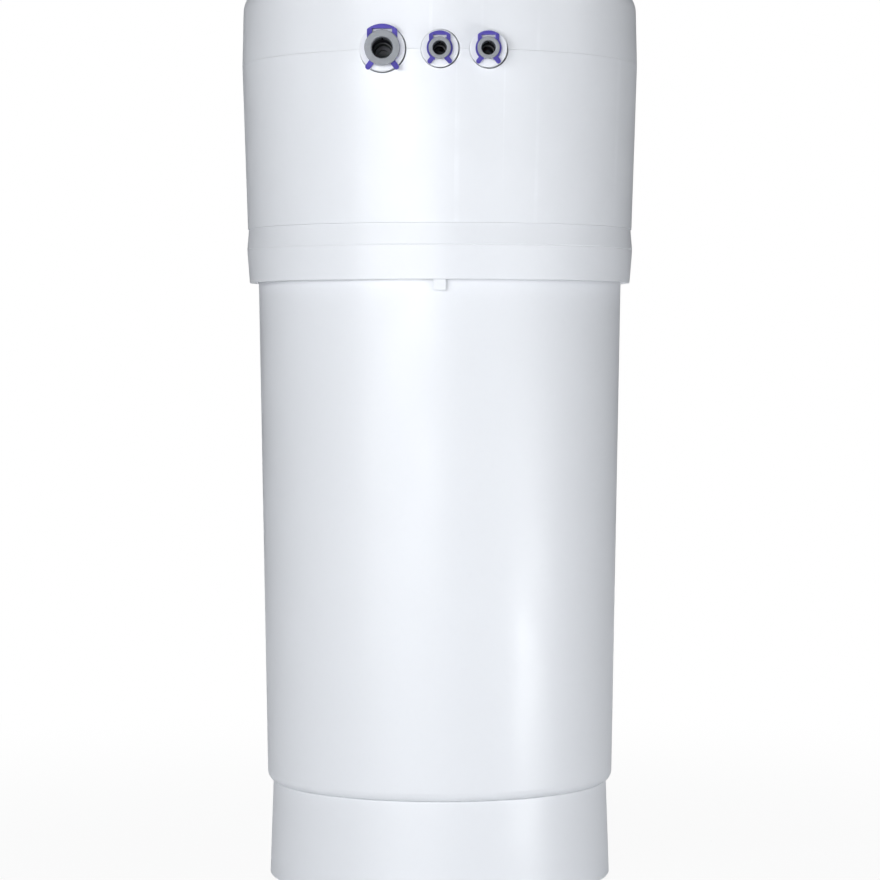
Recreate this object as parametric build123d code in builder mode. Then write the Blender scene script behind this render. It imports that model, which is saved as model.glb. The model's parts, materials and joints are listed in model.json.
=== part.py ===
from build123d import *

import os
from math import cos, radians, sin, sqrt, tan

# Under-counter reverse osmosis water filter: a round storage tank on a base skirt,
# closed by a head that a bayonet ring clamps on. The head carries three drop-in
# cartridges under a lift-off lid and three push-fit tube ports on the rear side.
# Millimetres, +Z up, origin on the tank's axis at the level of the feet,
# rear side with the ports towards -Y.

os.makedirs("parts", exist_ok=True)

# Heights of the outside form
foot_proud = 1.0
base_height = 45.3
base_gap = 0.7
tank_side = 248.2
ring_height = 26.4
ring_crease_height = 16.9
head_gap = 0.4
shroud_height = 80.4
lid_side = 26.4
lid_crown = 1.0

# Radii of the outside form, each stepped from the tank's
tank_r = 90.15
tank_taper = 4.15
tank_corner = 4.5
base_inset = 2.8
base_flare = 1.6
base_edge = 0.8
flange_lip = 1.85
ring_lip_gap = 0.6
ring_bore_gap = 0.5
ring_wall = 2.1
ring_crease_swell = 1.25
ring_top_draw = 0.85
shroud_overhang = 0.5
shroud_flare = 2.6
lid_draw = 0.6
lid_corner = 12.0
lid_ledge = 1.2

# Walls and running clearances
tank_wall = 4.0
base_wall = 3.0
head_wall = 3.0
slide_gap = 0.2
snug_gap = 0.1
seam_gap = 0.25
weld = 0.5

# Bayonet between the ring and the head, and the ring's pull tab and crease line
lug_count = 8
lug_angle = 20.0
lug_height = 3.5
ring_lip_height = 3.0
flange_height = 5.5
tab_width = 6.1
tab_drop = 5.2
tab_thickness = 2.2
tab_corner = 1.2
crease_depth = 0.3

# Tank floor, air valve and bladder
dome_depth = 26.0
dome_edge_inset = 17.0
dome_pad_r = 10.0
bladder_ledge_drop = 12.0
bladder_ledge_width = 2.5
bladder_wall = 1.5
bladder_play = 0.5
bladder_bead = 3.0
bladder_floor_gap = 0.3
valve_r = 3.85
valve_bore_r = 2.0
valve_drop = 12.0
valve_flange_r = 8.0
valve_flange_height = 2.0
valve_nut_height = 4.0
valve_cap_height = 7.0
valve_cap_wall = 1.5

# Base
web_height = 3.3
web_drop = 3.0
web_dome_gap = 1.5
toe_width = 12.0
toe_height = 4.0
rib_count = 12
rib_width = 2.4
foot_count = 4
foot_r = 4.5
foot_sink = 1.5
base_screw_count = 4
tank_boss_r = 4.5

# Head plate and its seal
spigot_wall = 4.0
head_groove_drop = 8.0
head_groove_height = 3.4
head_groove_depth = 2.3
head_seal_wire = 1.3
head_screw_count = 4
head_boss_r = 4.1
pillar_r = 4.5
tongue_height = 5.0
tongue_wall = 1.7
shroud_rim_height = 6.4

# Cartridges, their wells and the manifold that they drop into
cartridge_count = 3
well_head_gap = 9.46
capsule_wall = 1.8
capsule_floor = 2.4
neck_step = 2.0
well_gap = 1.5
well_wall = 1.8
well_floor = 2.5
well_floor_gap = 11.0
well_flange_lip = 2.3
well_flange_height = 3.0
well_seal_wire = 1.1
well_groove_height = 2.6
well_groove_depth = 2.2
manifold_height = 12.0
manifold_edge = 2.4
collar_height = 10.0
collar_wall = 1.8
collar_spacing = 1.8
twist_lug = 2.4
twist_lug_angle = 36.0
overhang_angle = 50.0
overhang_height = 3.8
neck_drop = 3.0
neck_bore_inset = 8.5
neck_seal_wire = 1.1
neck_groove_height = 2.6
neck_groove_depth = 2.1
neck_groove_spacing = 6.0
spigot_length = 8.0
cap_deck_height = 5.0
cap_rim_wall = 3.0
cap_rise = 2.0
grip_width = 11.0
grip_headroom = 13.0
grip_edge = 3.0
core_r = 6.0
core_play = 0.3

# Screws
screw_r = 1.5
screw_play = 0.05
screw_hole_play = 0.2
screw_head_r = 2.8
screw_head_height = 2.2
screw_key_r = 1.4
screw_key_depth = 1.2
screw_bite = 5.0
screw_hole_spare = 0.5

# Riser tube with its check valve, shut-off valve and flow restrictor
riser_r = 5.0
riser_wall = 1.2
riser_floor_gap = 14.0
riser_sink = 5.0
check_boss_r = 6.2
check_bore_r = 4.0
check_height = 14.0
check_seat = 2.0
check_seat_r = 2.6
check_poppet_height = 3.0
check_stem_r = 1.1
check_stem_height = 4.5
check_port_r = 1.6
check_port_drop = 2.6
check_plug_height = 2.4
check_plug_sink = 3.0
spring_wire = 0.5
spring_turns = 4
shutoff_r = 10.5
shutoff_gap = 6.76
shutoff_body_height = 16.0
shutoff_cover_height = 12.0
shutoff_floor = 3.0
shutoff_wall = 2.5
diaphragm_height = 1.0
plunger_r = 5.0
plunger_height = 9.0
plunger_lift = 2.0
line_r = 3.175
line_bore_r = 2.2
line_sink = 4.0
restrictor_r = 5.0
restrictor_length = 38.0
restrictor_bore_r = 1.0
restrictor_neck_r = 3.0
restrictor_neck_length = 4.0
restrictor_gap = 0.8

# Push-fit ports on the rear: 1/4 inch feed and drain, 3/8 inch product
quarter_bore_r = 3.25
quarter_flange_lip = 1.2
quarter_boss_r = 8.8
quarter_stop_depth = 16.3
quarter_channel_r = 2.4
three_eighths_bore_r = 4.84
three_eighths_flange_lip = 2.7
three_eighths_boss_r = 10.7
three_eighths_stop_depth = 21.0
three_eighths_channel_r = 4.0
feed_x = 22.7
drain_x = 0.0
product_x = -26.8
boss_proud = 0.5
boss_gap = 0.6
hole_draft = 0.3

# Locking clips of the ports
quarter_clip_band = 1.9
quarter_arch_rise = 2.8
quarter_arch_half = 5.0
quarter_arch_bar = 1.8
quarter_arch_top = 1.9
quarter_leg_width = 2.15
quarter_leg_reach = 7.75
three_eighths_clip_band = 2.3
three_eighths_arch_rise = 2.3
three_eighths_arch_half = 7.05
three_eighths_arch_bar = 2.4
three_eighths_arch_top = 2.4
three_eighths_leg_width = 2.5
three_eighths_leg_reach = 11.0
quarter_window_height = 1.0
three_eighths_window_height = 1.9
leg_angle = 37.0
clip_mouth_angle = 24.0
clip_neck_play = 0.15
clip_thickness = 2.0
clip_play = 0.2
arch_corner = 0.8

# Fittings and collets behind the clips
collet_wall = 0.75
collet_flange = 1.2
collet_flange_edge = 0.3
collet_grip = 0.9
collet_neck_play = 0.25
collet_travel = 0.8
collet_length = 8.6
collet_slit = 0.8
fitting_lip = 1.2
chamber_play = 0.4
tube_seal_gap = 1.2
tube_seal_wire = 0.95
fitting_length = 22.6
retainer_thickness = 2.5
retainer_play = 0.15
retainer_groove = 1.6
retainer_shoulder = 2.8
retainer_post_r = 3.2
retainer_post_rise = 9.0
retainer_drop = 4.0
stem_step = 2.2
stem_length = 9.5
stem_seal_wire = 0.8
stem_groove_depth = 1.5
stem_groove_width = 2.0
port_wall_depth = 18.0
port_wall_margin = 1.7
port_wall_rise = 13.0
port_seat = 7.7
gallery_r = 2.4
gallery_inset = 4.3

# Levels, stacked up from the floor
base_bottom = foot_proud
base_top = base_bottom + base_height
tank_bottom = base_top + base_gap
tank_floor = tank_bottom + tank_wall
base_web_top = tank_bottom - web_drop
web_bottom = base_web_top - web_height
toe_top = base_bottom + toe_height
ring_bottom = tank_bottom + tank_side
ring_crease = ring_bottom + ring_crease_height
ring_top = ring_bottom + ring_height
shroud_bottom = ring_top + head_gap
seam = shroud_bottom + shroud_height
lid_shoulder = seam + lid_side
lid_top = lid_shoulder + lid_corner
lid_ceiling = lid_top - head_wall
flange_bottom = ring_bottom + ring_lip_height + slide_gap
rim = flange_bottom + flange_height
head_top = rim + flange_height
bladder_ledge = ring_bottom - bladder_ledge_drop
spigot_bottom = bladder_ledge + bladder_bead
tongue_top = seam + tongue_height
manifold_top = seam - three_eighths_boss_r - port_seat
manifold_bottom = manifold_top - manifold_height
collar_top = manifold_top + collar_height
well_bottom = tank_floor + well_floor_gap
grip_top = lid_ceiling - grip_headroom

# Radii, stepped out and in from the tank's side
tank_low_r = tank_r - tank_taper
tank_bore_r = tank_r - tank_wall
tank_low_bore_r = tank_low_r - tank_wall
bladder_ledge_r = tank_bore_r - bladder_ledge_width
dome_r = tank_low_r - dome_edge_inset
base_top_r = tank_low_r - base_inset
base_low_r = base_top_r + base_flare
base_bore_r = base_top_r - base_wall
flange_r = tank_r + flange_lip
ring_lip_r = tank_r + ring_lip_gap
ring_bore_r = flange_r + ring_bore_gap
ring_low_r = ring_bore_r + ring_wall
ring_crease_r = ring_low_r + ring_crease_swell
ring_top_r = ring_crease_r - ring_top_draw
shroud_low_r = ring_top_r + shroud_overhang
seam_r = shroud_low_r + shroud_flare
lid_r = seam_r - lid_draw
head_disc_r = tank_r - slide_gap
upstand_r = head_disc_r - slide_gap
lug_bore_r = head_disc_r + slide_gap
spigot_r = tank_bore_r - 2 * slide_gap
head_screw_circle = upstand_r - head_boss_r
tongue_r = seam_r - head_wall - slide_gap
tongue_bore_r = tongue_r - tongue_wall

# Cartridge fits: three wells side by side in the spigot's bore give the cartridges' size
circle_share = 1 / sin(radians(180 / cartridge_count))
collar_step = neck_step + twist_lug + 2 * slide_gap + collar_wall
collar_share = circle_share * (collar_step + collar_spacing / 2)
wells_reach = spigot_r - spigot_wall - well_head_gap
cartridge_r = (wells_reach - well_gap - well_wall - collar_share) / (1 + circle_share)
neck_r = cartridge_r + neck_step
socket_r = neck_r + slide_gap
well_bore_r = cartridge_r + well_gap
well_r = well_bore_r + well_wall
well_hole_r = well_r + slide_gap
twist_lug_r = neck_r + twist_lug
collar_bore_r = twist_lug_r + 2 * slide_gap
collar_r = collar_bore_r + collar_wall
cartridge_circle = (collar_r + collar_spacing / 2) * circle_share
manifold_r = cartridge_circle + collar_r + manifold_edge

# Distances in front of the fittings' face, towards the rear side
boss_face = seam_r + boss_proud
clip_back = clip_play
clip_front = clip_back + clip_thickness
flange_back = clip_front + clip_play
collet_face = flange_back + collet_flange
groove_back = fitting_length - retainer_shoulder
groove_front = groove_back - retainer_thickness - retainer_play
port_wall_front = boss_face - fitting_length
port_wall_back = port_wall_front - port_wall_depth
gallery_y = -(port_wall_back + gallery_inset)
pillar_circle = -gallery_y - restrictor_r - restrictor_gap - pillar_r
shutoff_circle = upstand_r - head_wall - shutoff_gap - shutoff_r


def polar(radius, angle):
    """The point at a radius and an angle in degrees about the tank's axis."""
    return (radius * cos(radians(angle)), radius * sin(radians(angle)))


def spin(points, mode=Mode.ADD, plane=Plane.XZ, axis=Axis.Z):
    """Turns a closed outline of (radius, height) points about an axis."""
    with BuildSketch(plane) as outline:
        with BuildLine():
            Polyline(*points, close=True)
        make_face()
    revolve(outline.sketch, axis=axis, mode=mode)


def ring(inner, outer, low, high, mode=Mode.ADD, plane=Plane.XZ, axis=Axis.Z):
    """A plain ring about an axis, between two levels."""
    spin([(inner, low), (outer, low), (outer, high), (inner, high)], mode, plane, axis)


def column(radius, low, high, at=(0, 0), mode=Mode.ADD, plane=Plane.XY):
    """A cylinder that stands on a plane, between two distances from it."""
    with BuildSketch(plane.offset(low)) as disc:
        with Locations(at):
            Circle(radius)
    extrude(disc.sketch, amount=high - low, mode=mode)


def lugs(inner, outer, low, high, count, width, plane=Plane.XY):
    """Equal arc-shaped lugs about the plane's Z axis, the first one facing its +X."""
    reach = outer * 1.3
    near = inner / 2
    half = tan(radians(width / 2))
    with BuildSketch(plane.offset(low)) as sectors:
        with PolarLocations(0, count):
            Polygon((near, -near * half), (reach, -reach * half), (reach, reach * half),
                    (near, near * half), align=None)
        Circle(outer, mode=Mode.INTERSECT)
        Circle(inner, mode=Mode.SUBTRACT)
    extrude(sectors.sketch, amount=high - low)


def seal(radius, wire_r, level, plane=Plane.XZ, axis=Axis.Z):
    """An O-ring of a wire radius about an axis."""
    with BuildSketch(plane) as wire:
        with Locations((radius, level)):
            Circle(wire_r)
    revolve(wire.sketch, axis=axis)


def screw(at, seat, tip, plane=Plane.XY):
    """A socket screw that stands on a plane, its head's underside at the seat."""
    way = 1 if tip > seat else -1
    head = seat - way * screw_head_height
    key = head + way * screw_key_depth
    column(screw_r, min(seat, tip), max(seat, tip), at, plane=plane)
    column(screw_head_r, min(seat, head), max(seat, head), at, plane=plane)
    with BuildSketch(plane.offset(min(head, key))) as socket:
        with Locations(at):
            RegularPolygon(screw_key_r, 6)
    extrude(socket.sketch, amount=screw_key_depth, mode=Mode.SUBTRACT)


def save(piece, name):
    """Labels a finished piece and writes it under that name."""
    piece.label = name
    export_step(piece, f"parts/{name}.step")


class Port:
    """One push-fit tube port: its place across the rear and its fitting's sizes."""

    def __init__(self, name, x, tube, clip):
        self.name = name
        self.x = x
        self.bore_r, lip, self.boss_r, self.stop_depth, self.channel_r = tube
        band, rise, self.arch_half, self.arch_bar, self.arch_top, self.window_height = clip[:6]
        self.leg_width, self.leg_reach = clip[6:]
        self.neck_r = self.bore_r + collet_wall
        self.grip_r = self.neck_r + collet_grip
        self.flange_r = self.neck_r + lip
        self.lip_r = self.neck_r + collet_neck_play
        self.chamber_r = self.grip_r + chamber_play
        self.clip_bore_r = self.neck_r + clip_neck_play
        self.clip_r = self.clip_bore_r + band
        self.arch_r = self.flange_r + rise
        self.hole_r = self.boss_r + boss_gap
        self.stem_r = self.boss_r - stem_step
        self.front = Plane(origin=(x, -boss_face, seam), x_dir=(1, 0, 0), z_dir=(0, -1, 0))
        self.section = Plane(origin=(x, -boss_face, seam), x_dir=(1, 0, 0), z_dir=(0, 0, -1))
        self.axis = Axis((x, -boss_face, seam), (0, -1, 0))


def drafted_hole(port):
    """Cuts a port's hole through a cover, a little narrower inwards so that it draws."""
    spin([
        (0, clip_back),
        (port.hole_r, clip_back),
        (port.hole_r - hole_draft, -groove_front),
        (0, -groove_front),
    ], Mode.SUBTRACT, port.section, port.axis)


quarter_tube = (quarter_bore_r, quarter_flange_lip, quarter_boss_r)
quarter_tube += (quarter_stop_depth, quarter_channel_r)
quarter_clip = (quarter_clip_band, quarter_arch_rise, quarter_arch_half, quarter_arch_bar)
quarter_clip += (quarter_arch_top, quarter_window_height)
quarter_clip += (quarter_leg_width, quarter_leg_reach)
large_tube = (three_eighths_bore_r, three_eighths_flange_lip, three_eighths_boss_r)
large_tube += (three_eighths_stop_depth, three_eighths_channel_r)
large_clip = (three_eighths_clip_band, three_eighths_arch_rise, three_eighths_arch_half)
large_clip += (three_eighths_arch_bar, three_eighths_arch_top, three_eighths_window_height)
large_clip += (three_eighths_leg_width, three_eighths_leg_reach)
feed = Port("feed", feed_x, quarter_tube, quarter_clip)
drain = Port("drain", drain_x, quarter_tube, quarter_clip)
product = Port("product", product_x, large_tube, large_clip)
ports = [feed, drain, product]

base_spots = [polar((base_bore_r + dome_r) / 2, 45 + i * 360 / base_screw_count)
              for i in range(base_screw_count)]
head_spots = [polar(head_screw_circle, 45 + i * 360 / head_screw_count)
              for i in range(head_screw_count)]
cartridge_turns = [90 + i * 360 / cartridge_count for i in range(cartridge_count)]
cartridge_spots = [polar(cartridge_circle, turn) for turn in cartridge_turns]
pillar_spots = [polar(pillar_circle, turn - 180 / cartridge_count) for turn in cartridge_turns]


def upright(spot):
    """The section plane and the axis of a piece that stands at a spot."""
    plane = Plane(origin=(*spot, 0), x_dir=(1, 0, 0), z_dir=(0, -1, 0))
    return plane, Axis((*spot, 0), (0, 0, 1))


def dome_level(radius, shift=0.0):
    """Height of the domed floor's outside at a radius, or of a surface a wall inside it."""
    depth = tank_bottom - dome_depth
    sphere = (dome_r**2 + dome_depth**2) / (2 * dome_depth)
    return depth + sphere - sqrt((sphere - shift) ** 2 - radius**2)


pad_bottom = dome_level(dome_pad_r)
pad_top = dome_level(dome_pad_r, tank_wall)
dome_waist = (dome_r + dome_pad_r) / 2
dome_bore_r = dome_r - tank_wall

# Tank shell: side wall with a slight draft, clamp flange at the mouth, domed floor
with BuildPart() as tank_shell:
    with BuildSketch(Plane.XZ):
        with BuildLine():
            Line((0, pad_bottom), (dome_pad_r, pad_bottom))
            ThreePointArc(
                (dome_pad_r, pad_bottom),
                (dome_waist, dome_level(dome_waist)),
                (dome_r, tank_bottom),
            )
            Line((dome_r, tank_bottom), (tank_low_r - tank_corner, tank_bottom))
            RadiusArc(
                (tank_low_r - tank_corner, tank_bottom),
                (tank_low_r, tank_bottom + tank_corner),
                -tank_corner,
            )
            Polyline(
                (tank_low_r, tank_bottom + tank_corner),
                (tank_r, ring_bottom),
                (tank_r, flange_bottom),
                (flange_r, flange_bottom),
                (flange_r, rim),
                (tank_bore_r, rim),
                (tank_bore_r, bladder_ledge),
                (bladder_ledge_r, bladder_ledge),
                (tank_low_bore_r, tank_floor),
                (dome_bore_r, tank_floor),
                (dome_bore_r, dome_level(dome_bore_r, tank_wall)),
            )
            ThreePointArc(
                (dome_bore_r, dome_level(dome_bore_r, tank_wall)),
                (dome_waist, dome_level(dome_waist, tank_wall)),
                (dome_pad_r, pad_top),
            )
            Polyline((dome_pad_r, pad_top), (0, pad_top), (0, pad_bottom))
        make_face()
    revolve(axis=Axis.Z)
    for spot in base_spots:
        column(tank_boss_r, base_web_top, tank_bottom + weld, spot)
        hole_top = base_web_top + screw_bite + screw_hole_spare
        column(screw_r + screw_play, base_web_top, hole_top, spot, Mode.SUBTRACT)
    column(valve_r + snug_gap, pad_bottom, pad_top, mode=Mode.SUBTRACT)
save(tank_shell.part, "tank_shell")

# Base skirt: flared wall, web that carries the tank's bosses, toe over the feet, ribs
toe_bore_r = base_low_r - toe_width
rib_length = base_top_r - base_wall / 2 - toe_bore_r
foot_circle = toe_bore_r + toe_width / 2
foot_spots = [polar(foot_circle, 45 + i * 360 / foot_count) for i in range(foot_count)]
with BuildPart() as base_skirt:
    spin([
        (base_low_r, base_bottom),
        (base_top_r, base_top),
        (base_bore_r, base_top),
        (base_low_r - base_wall, base_bottom),
    ])
    ring(dome_r - web_dome_gap, base_bore_r + base_wall / 2, web_bottom, base_web_top)
    ring(toe_bore_r, base_low_r - base_wall / 2, base_bottom, toe_top)
    with BuildSketch(Plane.XY.offset(toe_top - weld)):
        with PolarLocations(toe_bore_r + rib_length / 2, rib_count):
            Rectangle(rib_length, rib_width)
    extrude(amount=web_bottom - toe_top + 2 * weld)
    for spot in foot_spots:
        column(foot_r + snug_gap, base_bottom, base_bottom + foot_sink, spot, Mode.SUBTRACT)
    for spot in base_spots:
        column(screw_r + screw_hole_play, web_bottom, base_web_top, spot, Mode.SUBTRACT)
    rim_edges = base_skirt.edges().filter_by(GeomType.CIRCLE).group_by(Axis.Z)[-1]
    fillet(rim_edges.sort_by(SortBy.RADIUS)[-1], radius=base_edge)
save(base_skirt.part, "base_skirt")

# Feet: rubber discs pressed into the toe
with BuildPart() as base_feet:
    for spot in foot_spots:
        column(foot_r, 0, base_bottom + foot_sink, spot)
save(base_feet.part, "base_feet")

# Screws that hold the skirt up against the tank's bosses
with BuildPart() as base_screws:
    for spot in base_spots:
        screw(spot, web_bottom, base_web_top + screw_bite)
save(base_screws.part, "base_screws")

# Air valve of the tank: flanged stem through the dome, its nut and its dust cap
valve_tip = pad_bottom - valve_drop
with BuildPart() as air_valve:
    column(valve_flange_r, pad_top, pad_top + valve_flange_height)
    column(valve_r, valve_tip, pad_top)
    column(valve_bore_r, valve_tip, pad_top + valve_flange_height, mode=Mode.SUBTRACT)
save(air_valve.part, "air_valve")

with BuildPart() as air_valve_nut:
    with BuildSketch(Plane.XY.offset(pad_bottom - valve_nut_height)):
        RegularPolygon(valve_flange_r, 6)
        Circle(valve_r + snug_gap, mode=Mode.SUBTRACT)
    extrude(amount=valve_nut_height)
save(air_valve_nut.part, "air_valve_nut")

valve_cap_r = valve_r + snug_gap + valve_cap_wall
with BuildPart() as air_valve_cap:
    cap_bottom = valve_tip - valve_cap_wall - slide_gap
    column(valve_cap_r, cap_bottom, cap_bottom + valve_cap_height)
    with BuildSketch(Plane.XY.offset(cap_bottom)):
        with PolarLocations(valve_cap_r, 12):
            Circle(valve_cap_wall / 3)
    extrude(amount=valve_cap_height)
    column(valve_r + snug_gap, valve_tip - slide_gap, cap_bottom + valve_cap_height,
           mode=Mode.SUBTRACT)
save(air_valve_cap.part, "air_valve_cap")

# Bladder: rubber cup that keeps the water off the air, its bead held under the head
cup_r = bladder_ledge_r - bladder_play
cup_low_r = tank_low_bore_r - bladder_play
cup_bottom = tank_floor + bladder_floor_gap
with BuildPart() as storage_bladder:
    spin([
        (0, cup_bottom),
        (cup_low_r, cup_bottom),
        (cup_r, bladder_ledge),
        (tank_bore_r - bladder_play, bladder_ledge),
        (tank_bore_r - bladder_play, spigot_bottom),
        (cup_r - bladder_wall, spigot_bottom),
        (cup_r - bladder_wall, bladder_ledge),
        (cup_low_r - bladder_wall, cup_bottom + bladder_wall),
        (0, cup_bottom + bladder_wall),
    ])
save(storage_bladder.part, "storage_bladder")

# Head plate: disc on the tank's mouth, spigot with its seal groove, bayonet lugs,
# upstand for the shroud, holes for the wells and pillars for the manifold
groove_top = rim - head_groove_drop
groove_r = spigot_r - head_groove_depth
head_middle = (rim + head_top) / 2
riser_hole_r = riser_r + slide_gap
with BuildPart() as head_plate:
    ring(0, head_disc_r, rim, head_top)
    ring(spigot_r - spigot_wall, spigot_r, spigot_bottom, rim + weld)
    ring(upstand_r - head_wall, upstand_r, head_top - weld, shroud_bottom)
    lugs(head_disc_r - weld, ring_bore_r - slide_gap, rim, head_top, lug_count, lug_angle)
    ring(groove_r, spigot_r, groove_top - head_groove_height, groove_top, Mode.SUBTRACT)
    for spot in head_spots:
        column(head_boss_r, head_top - weld, shroud_bottom, spot)
        hole_low = shroud_bottom - screw_bite - screw_hole_spare
        column(screw_r + screw_play, hole_low, shroud_bottom, spot, Mode.SUBTRACT)
    for spot in pillar_spots:
        column(pillar_r, head_top - weld, manifold_bottom, spot)
        hole_low = manifold_bottom - screw_bite - screw_hole_spare
        column(screw_r + screw_play, hole_low, manifold_bottom, spot, Mode.SUBTRACT)
    for spot in cartridge_spots:
        column(well_hole_r, rim, head_top, spot, Mode.SUBTRACT)
        plane, axis = upright(spot)
        ring(well_r, well_hole_r + well_groove_depth, head_middle - well_groove_height / 2,
             head_middle + well_groove_height / 2, Mode.SUBTRACT, plane, axis)
    column(riser_hole_r, rim, head_top, mode=Mode.SUBTRACT)
save(head_plate.part, "head_plate")

with BuildPart() as head_seal:
    seal(groove_r + head_seal_wire, head_seal_wire, groove_top - head_groove_height / 2)
save(head_seal.part, "head_seal")

# Wells: closed tubes that stand down into the tank, one for each cartridge
with BuildPart() as well_seals:
    for spot in cartridge_spots:
        plane, axis = upright(spot)
        seal(well_r + snug_gap + well_seal_wire, well_seal_wire, head_middle, plane, axis)
save(well_seals.part, "well_seals")

for number, spot in enumerate(cartridge_spots, start=1):
    with BuildPart() as well:
        column(well_r, well_bottom, manifold_bottom, spot)
        flange_low = manifold_bottom - well_flange_height
        column(well_r + well_flange_lip, flange_low, manifold_bottom, spot)
        column(well_bore_r, well_bottom + well_floor, manifold_bottom, spot, Mode.SUBTRACT)
    save(well.part, f"cartridge_well_{number}")

# Manifold: plate on the pillars with a socket and a bayonet collar for each cartridge,
# a boss for the check valve and the upright wall that the port fittings plug into
port_wall_left = product.x - product.boss_r - port_wall_margin
port_wall_right = feed.x + feed.boss_r + port_wall_margin
port_wall_top = seam + port_wall_rise
port_wall_middle = (port_wall_left + port_wall_right) / 2
gallery_level = (manifold_bottom + manifold_top) / 2
gallery_out = -(boss_face + gallery_y)
stem_end = -(fitting_length + stem_length)
riser_top = manifold_bottom + riser_sink
check_seat_level = riser_top + check_seat
check_top = manifold_top + check_height
line_top = manifold_bottom + line_sink
line_spot = polar(shutoff_circle, 90 - 180 / cartridge_count)
cartridge_pitch = 2 * cartridge_circle * sin(radians(180 / cartridge_count))
post_spots = [
    ((feed.x - feed.boss_r + drain.x + drain.boss_r) / 2, retainer_post_rise),
    ((drain.x - drain.boss_r + product.x + product.boss_r) / 2, retainer_post_rise),
]


def facing(spot, turn):
    """A level plane at a cartridge's spot, its X pointing away from the tank's axis."""
    return Plane(origin=(*spot, 0), x_dir=(*polar(1, turn), 0), z_dir=(0, 0, 1))


def toward(start, angle, level):
    """A plane for a level bore that leaves a point in a direction."""
    return Plane(origin=(*start, level), x_dir=(0, 0, 1), z_dir=(*polar(1, angle), 0))


with BuildPart() as manifold:
    column(manifold_r, manifold_bottom, manifold_top)
    with BuildSketch(Plane.XY.offset(manifold_bottom)) as wall_foot:
        with Locations((port_wall_middle, -(port_wall_front + port_wall_back) / 2)):
            Rectangle(port_wall_right - port_wall_left, port_wall_depth)
    extrude(wall_foot.sketch, amount=port_wall_top - manifold_bottom)
    column(check_boss_r, manifold_top - weld, check_top)
    for spot, turn in zip(cartridge_spots, cartridge_turns):
        column(collar_r, manifold_top - weld, collar_top, spot)
        column(collar_bore_r, manifold_top, collar_top, spot, Mode.SUBTRACT)
        column(socket_r, manifold_bottom, manifold_top, spot, Mode.SUBTRACT)
        lugs(neck_r + 2 * slide_gap, collar_bore_r + weld, collar_top - overhang_height,
             collar_top, 2, overhang_angle, facing(spot, turn))
        link = toward(spot, turn + 90 + 180 / cartridge_count, gallery_level)
        column(gallery_r, socket_r - weld, cartridge_pitch - socket_r + weld,
               mode=Mode.SUBTRACT, plane=link)
    for spot in pillar_spots:
        column(screw_r + screw_hole_play, manifold_bottom, manifold_top, spot, Mode.SUBTRACT)
    for port in ports:
        column(port.stem_r + retainer_play, stem_end - snug_gap, -fitting_length,
               mode=Mode.SUBTRACT, plane=port.front)
        column(gallery_r, gallery_out, stem_end, mode=Mode.SUBTRACT, plane=port.front)
        column(gallery_r, gallery_level, seam, (port.x, gallery_y), Mode.SUBTRACT)
    for port, spot in [(product, cartridge_spots[1]), (feed, cartridge_spots[2])]:
        reach = spot[1] - sqrt(socket_r**2 - (port.x - spot[0]) ** 2) - gallery_y + weld
        column(gallery_r, 0, reach, mode=Mode.SUBTRACT,
               plane=toward((port.x, gallery_y), 90, gallery_level))
    column(gallery_r, manifold_bottom, gallery_level, (drain.x, gallery_y), Mode.SUBTRACT)
    column(restrictor_neck_r + snug_gap, manifold_bottom,
           manifold_bottom + restrictor_neck_length, (drain.x, gallery_y), Mode.SUBTRACT)
    for spot in post_spots:
        column(screw_r + screw_play, -(fitting_length + screw_bite + screw_hole_spare),
               -fitting_length, spot, Mode.SUBTRACT, drain.front)
    column(riser_r + snug_gap, manifold_bottom, riser_top, mode=Mode.SUBTRACT)
    column(check_seat_r, riser_top, check_seat_level, mode=Mode.SUBTRACT)
    column(check_bore_r, check_seat_level, check_top, mode=Mode.SUBTRACT)
    column(check_port_r, check_bore_r - weld, cartridge_circle - socket_r + weld,
           mode=Mode.SUBTRACT,
           plane=toward((0, 0), cartridge_turns[1], manifold_top - check_port_drop))
    column(line_r + snug_gap, manifold_bottom, line_top, line_spot, Mode.SUBTRACT)
save(manifold.part, "manifold")

with BuildPart() as manifold_screws:
    for spot in pillar_spots:
        screw(spot, manifold_top, manifold_bottom - screw_bite)
save(manifold_screws.part, "manifold_screws")

# Riser tube from the tank up to the check valve
with BuildPart() as riser_tube:
    column(riser_r, tank_floor + riser_floor_gap, riser_top)
    column(riser_r - riser_wall, tank_floor + riser_floor_gap, riser_top, mode=Mode.SUBTRACT)
save(riser_tube.part, "riser_tube")

# Check valve in the manifold's boss: poppet, spring and screwed plug
poppet_top = check_seat_level + check_poppet_height
plug_bottom = check_top - check_plug_sink
spring_r = (check_stem_r + check_bore_r) / 2
with BuildPart() as check_poppet:
    column(check_bore_r - slide_gap, check_seat_level, poppet_top)
    column(check_stem_r, poppet_top, poppet_top + check_stem_height)
save(check_poppet.part, "check_poppet")

with BuildPart() as check_plug:
    column(check_boss_r, check_top, check_top + check_plug_height)
    column(check_bore_r - screw_play, plug_bottom, check_top)
    with BuildSketch(Plane.XY.offset(check_top)) as plug_key:
        RegularPolygon(screw_head_r, 6)
    extrude(plug_key.sketch, amount=check_plug_height, mode=Mode.SUBTRACT)
save(check_plug.part, "check_plug")

spring_low = poppet_top + spring_wire / 2
spring_height = plug_bottom - poppet_top - spring_wire
with BuildPart() as check_spring:
    with BuildLine() as coil:
        Helix(spring_height / spring_turns, spring_height, spring_r, center=(0, 0, spring_low))
    with BuildSketch(coil.line ^ 0) as spring_section:
        Circle(spring_wire / 2)
    sweep(spring_section.sketch, path=coil.line)
save(check_spring.part, "check_spring")

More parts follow.
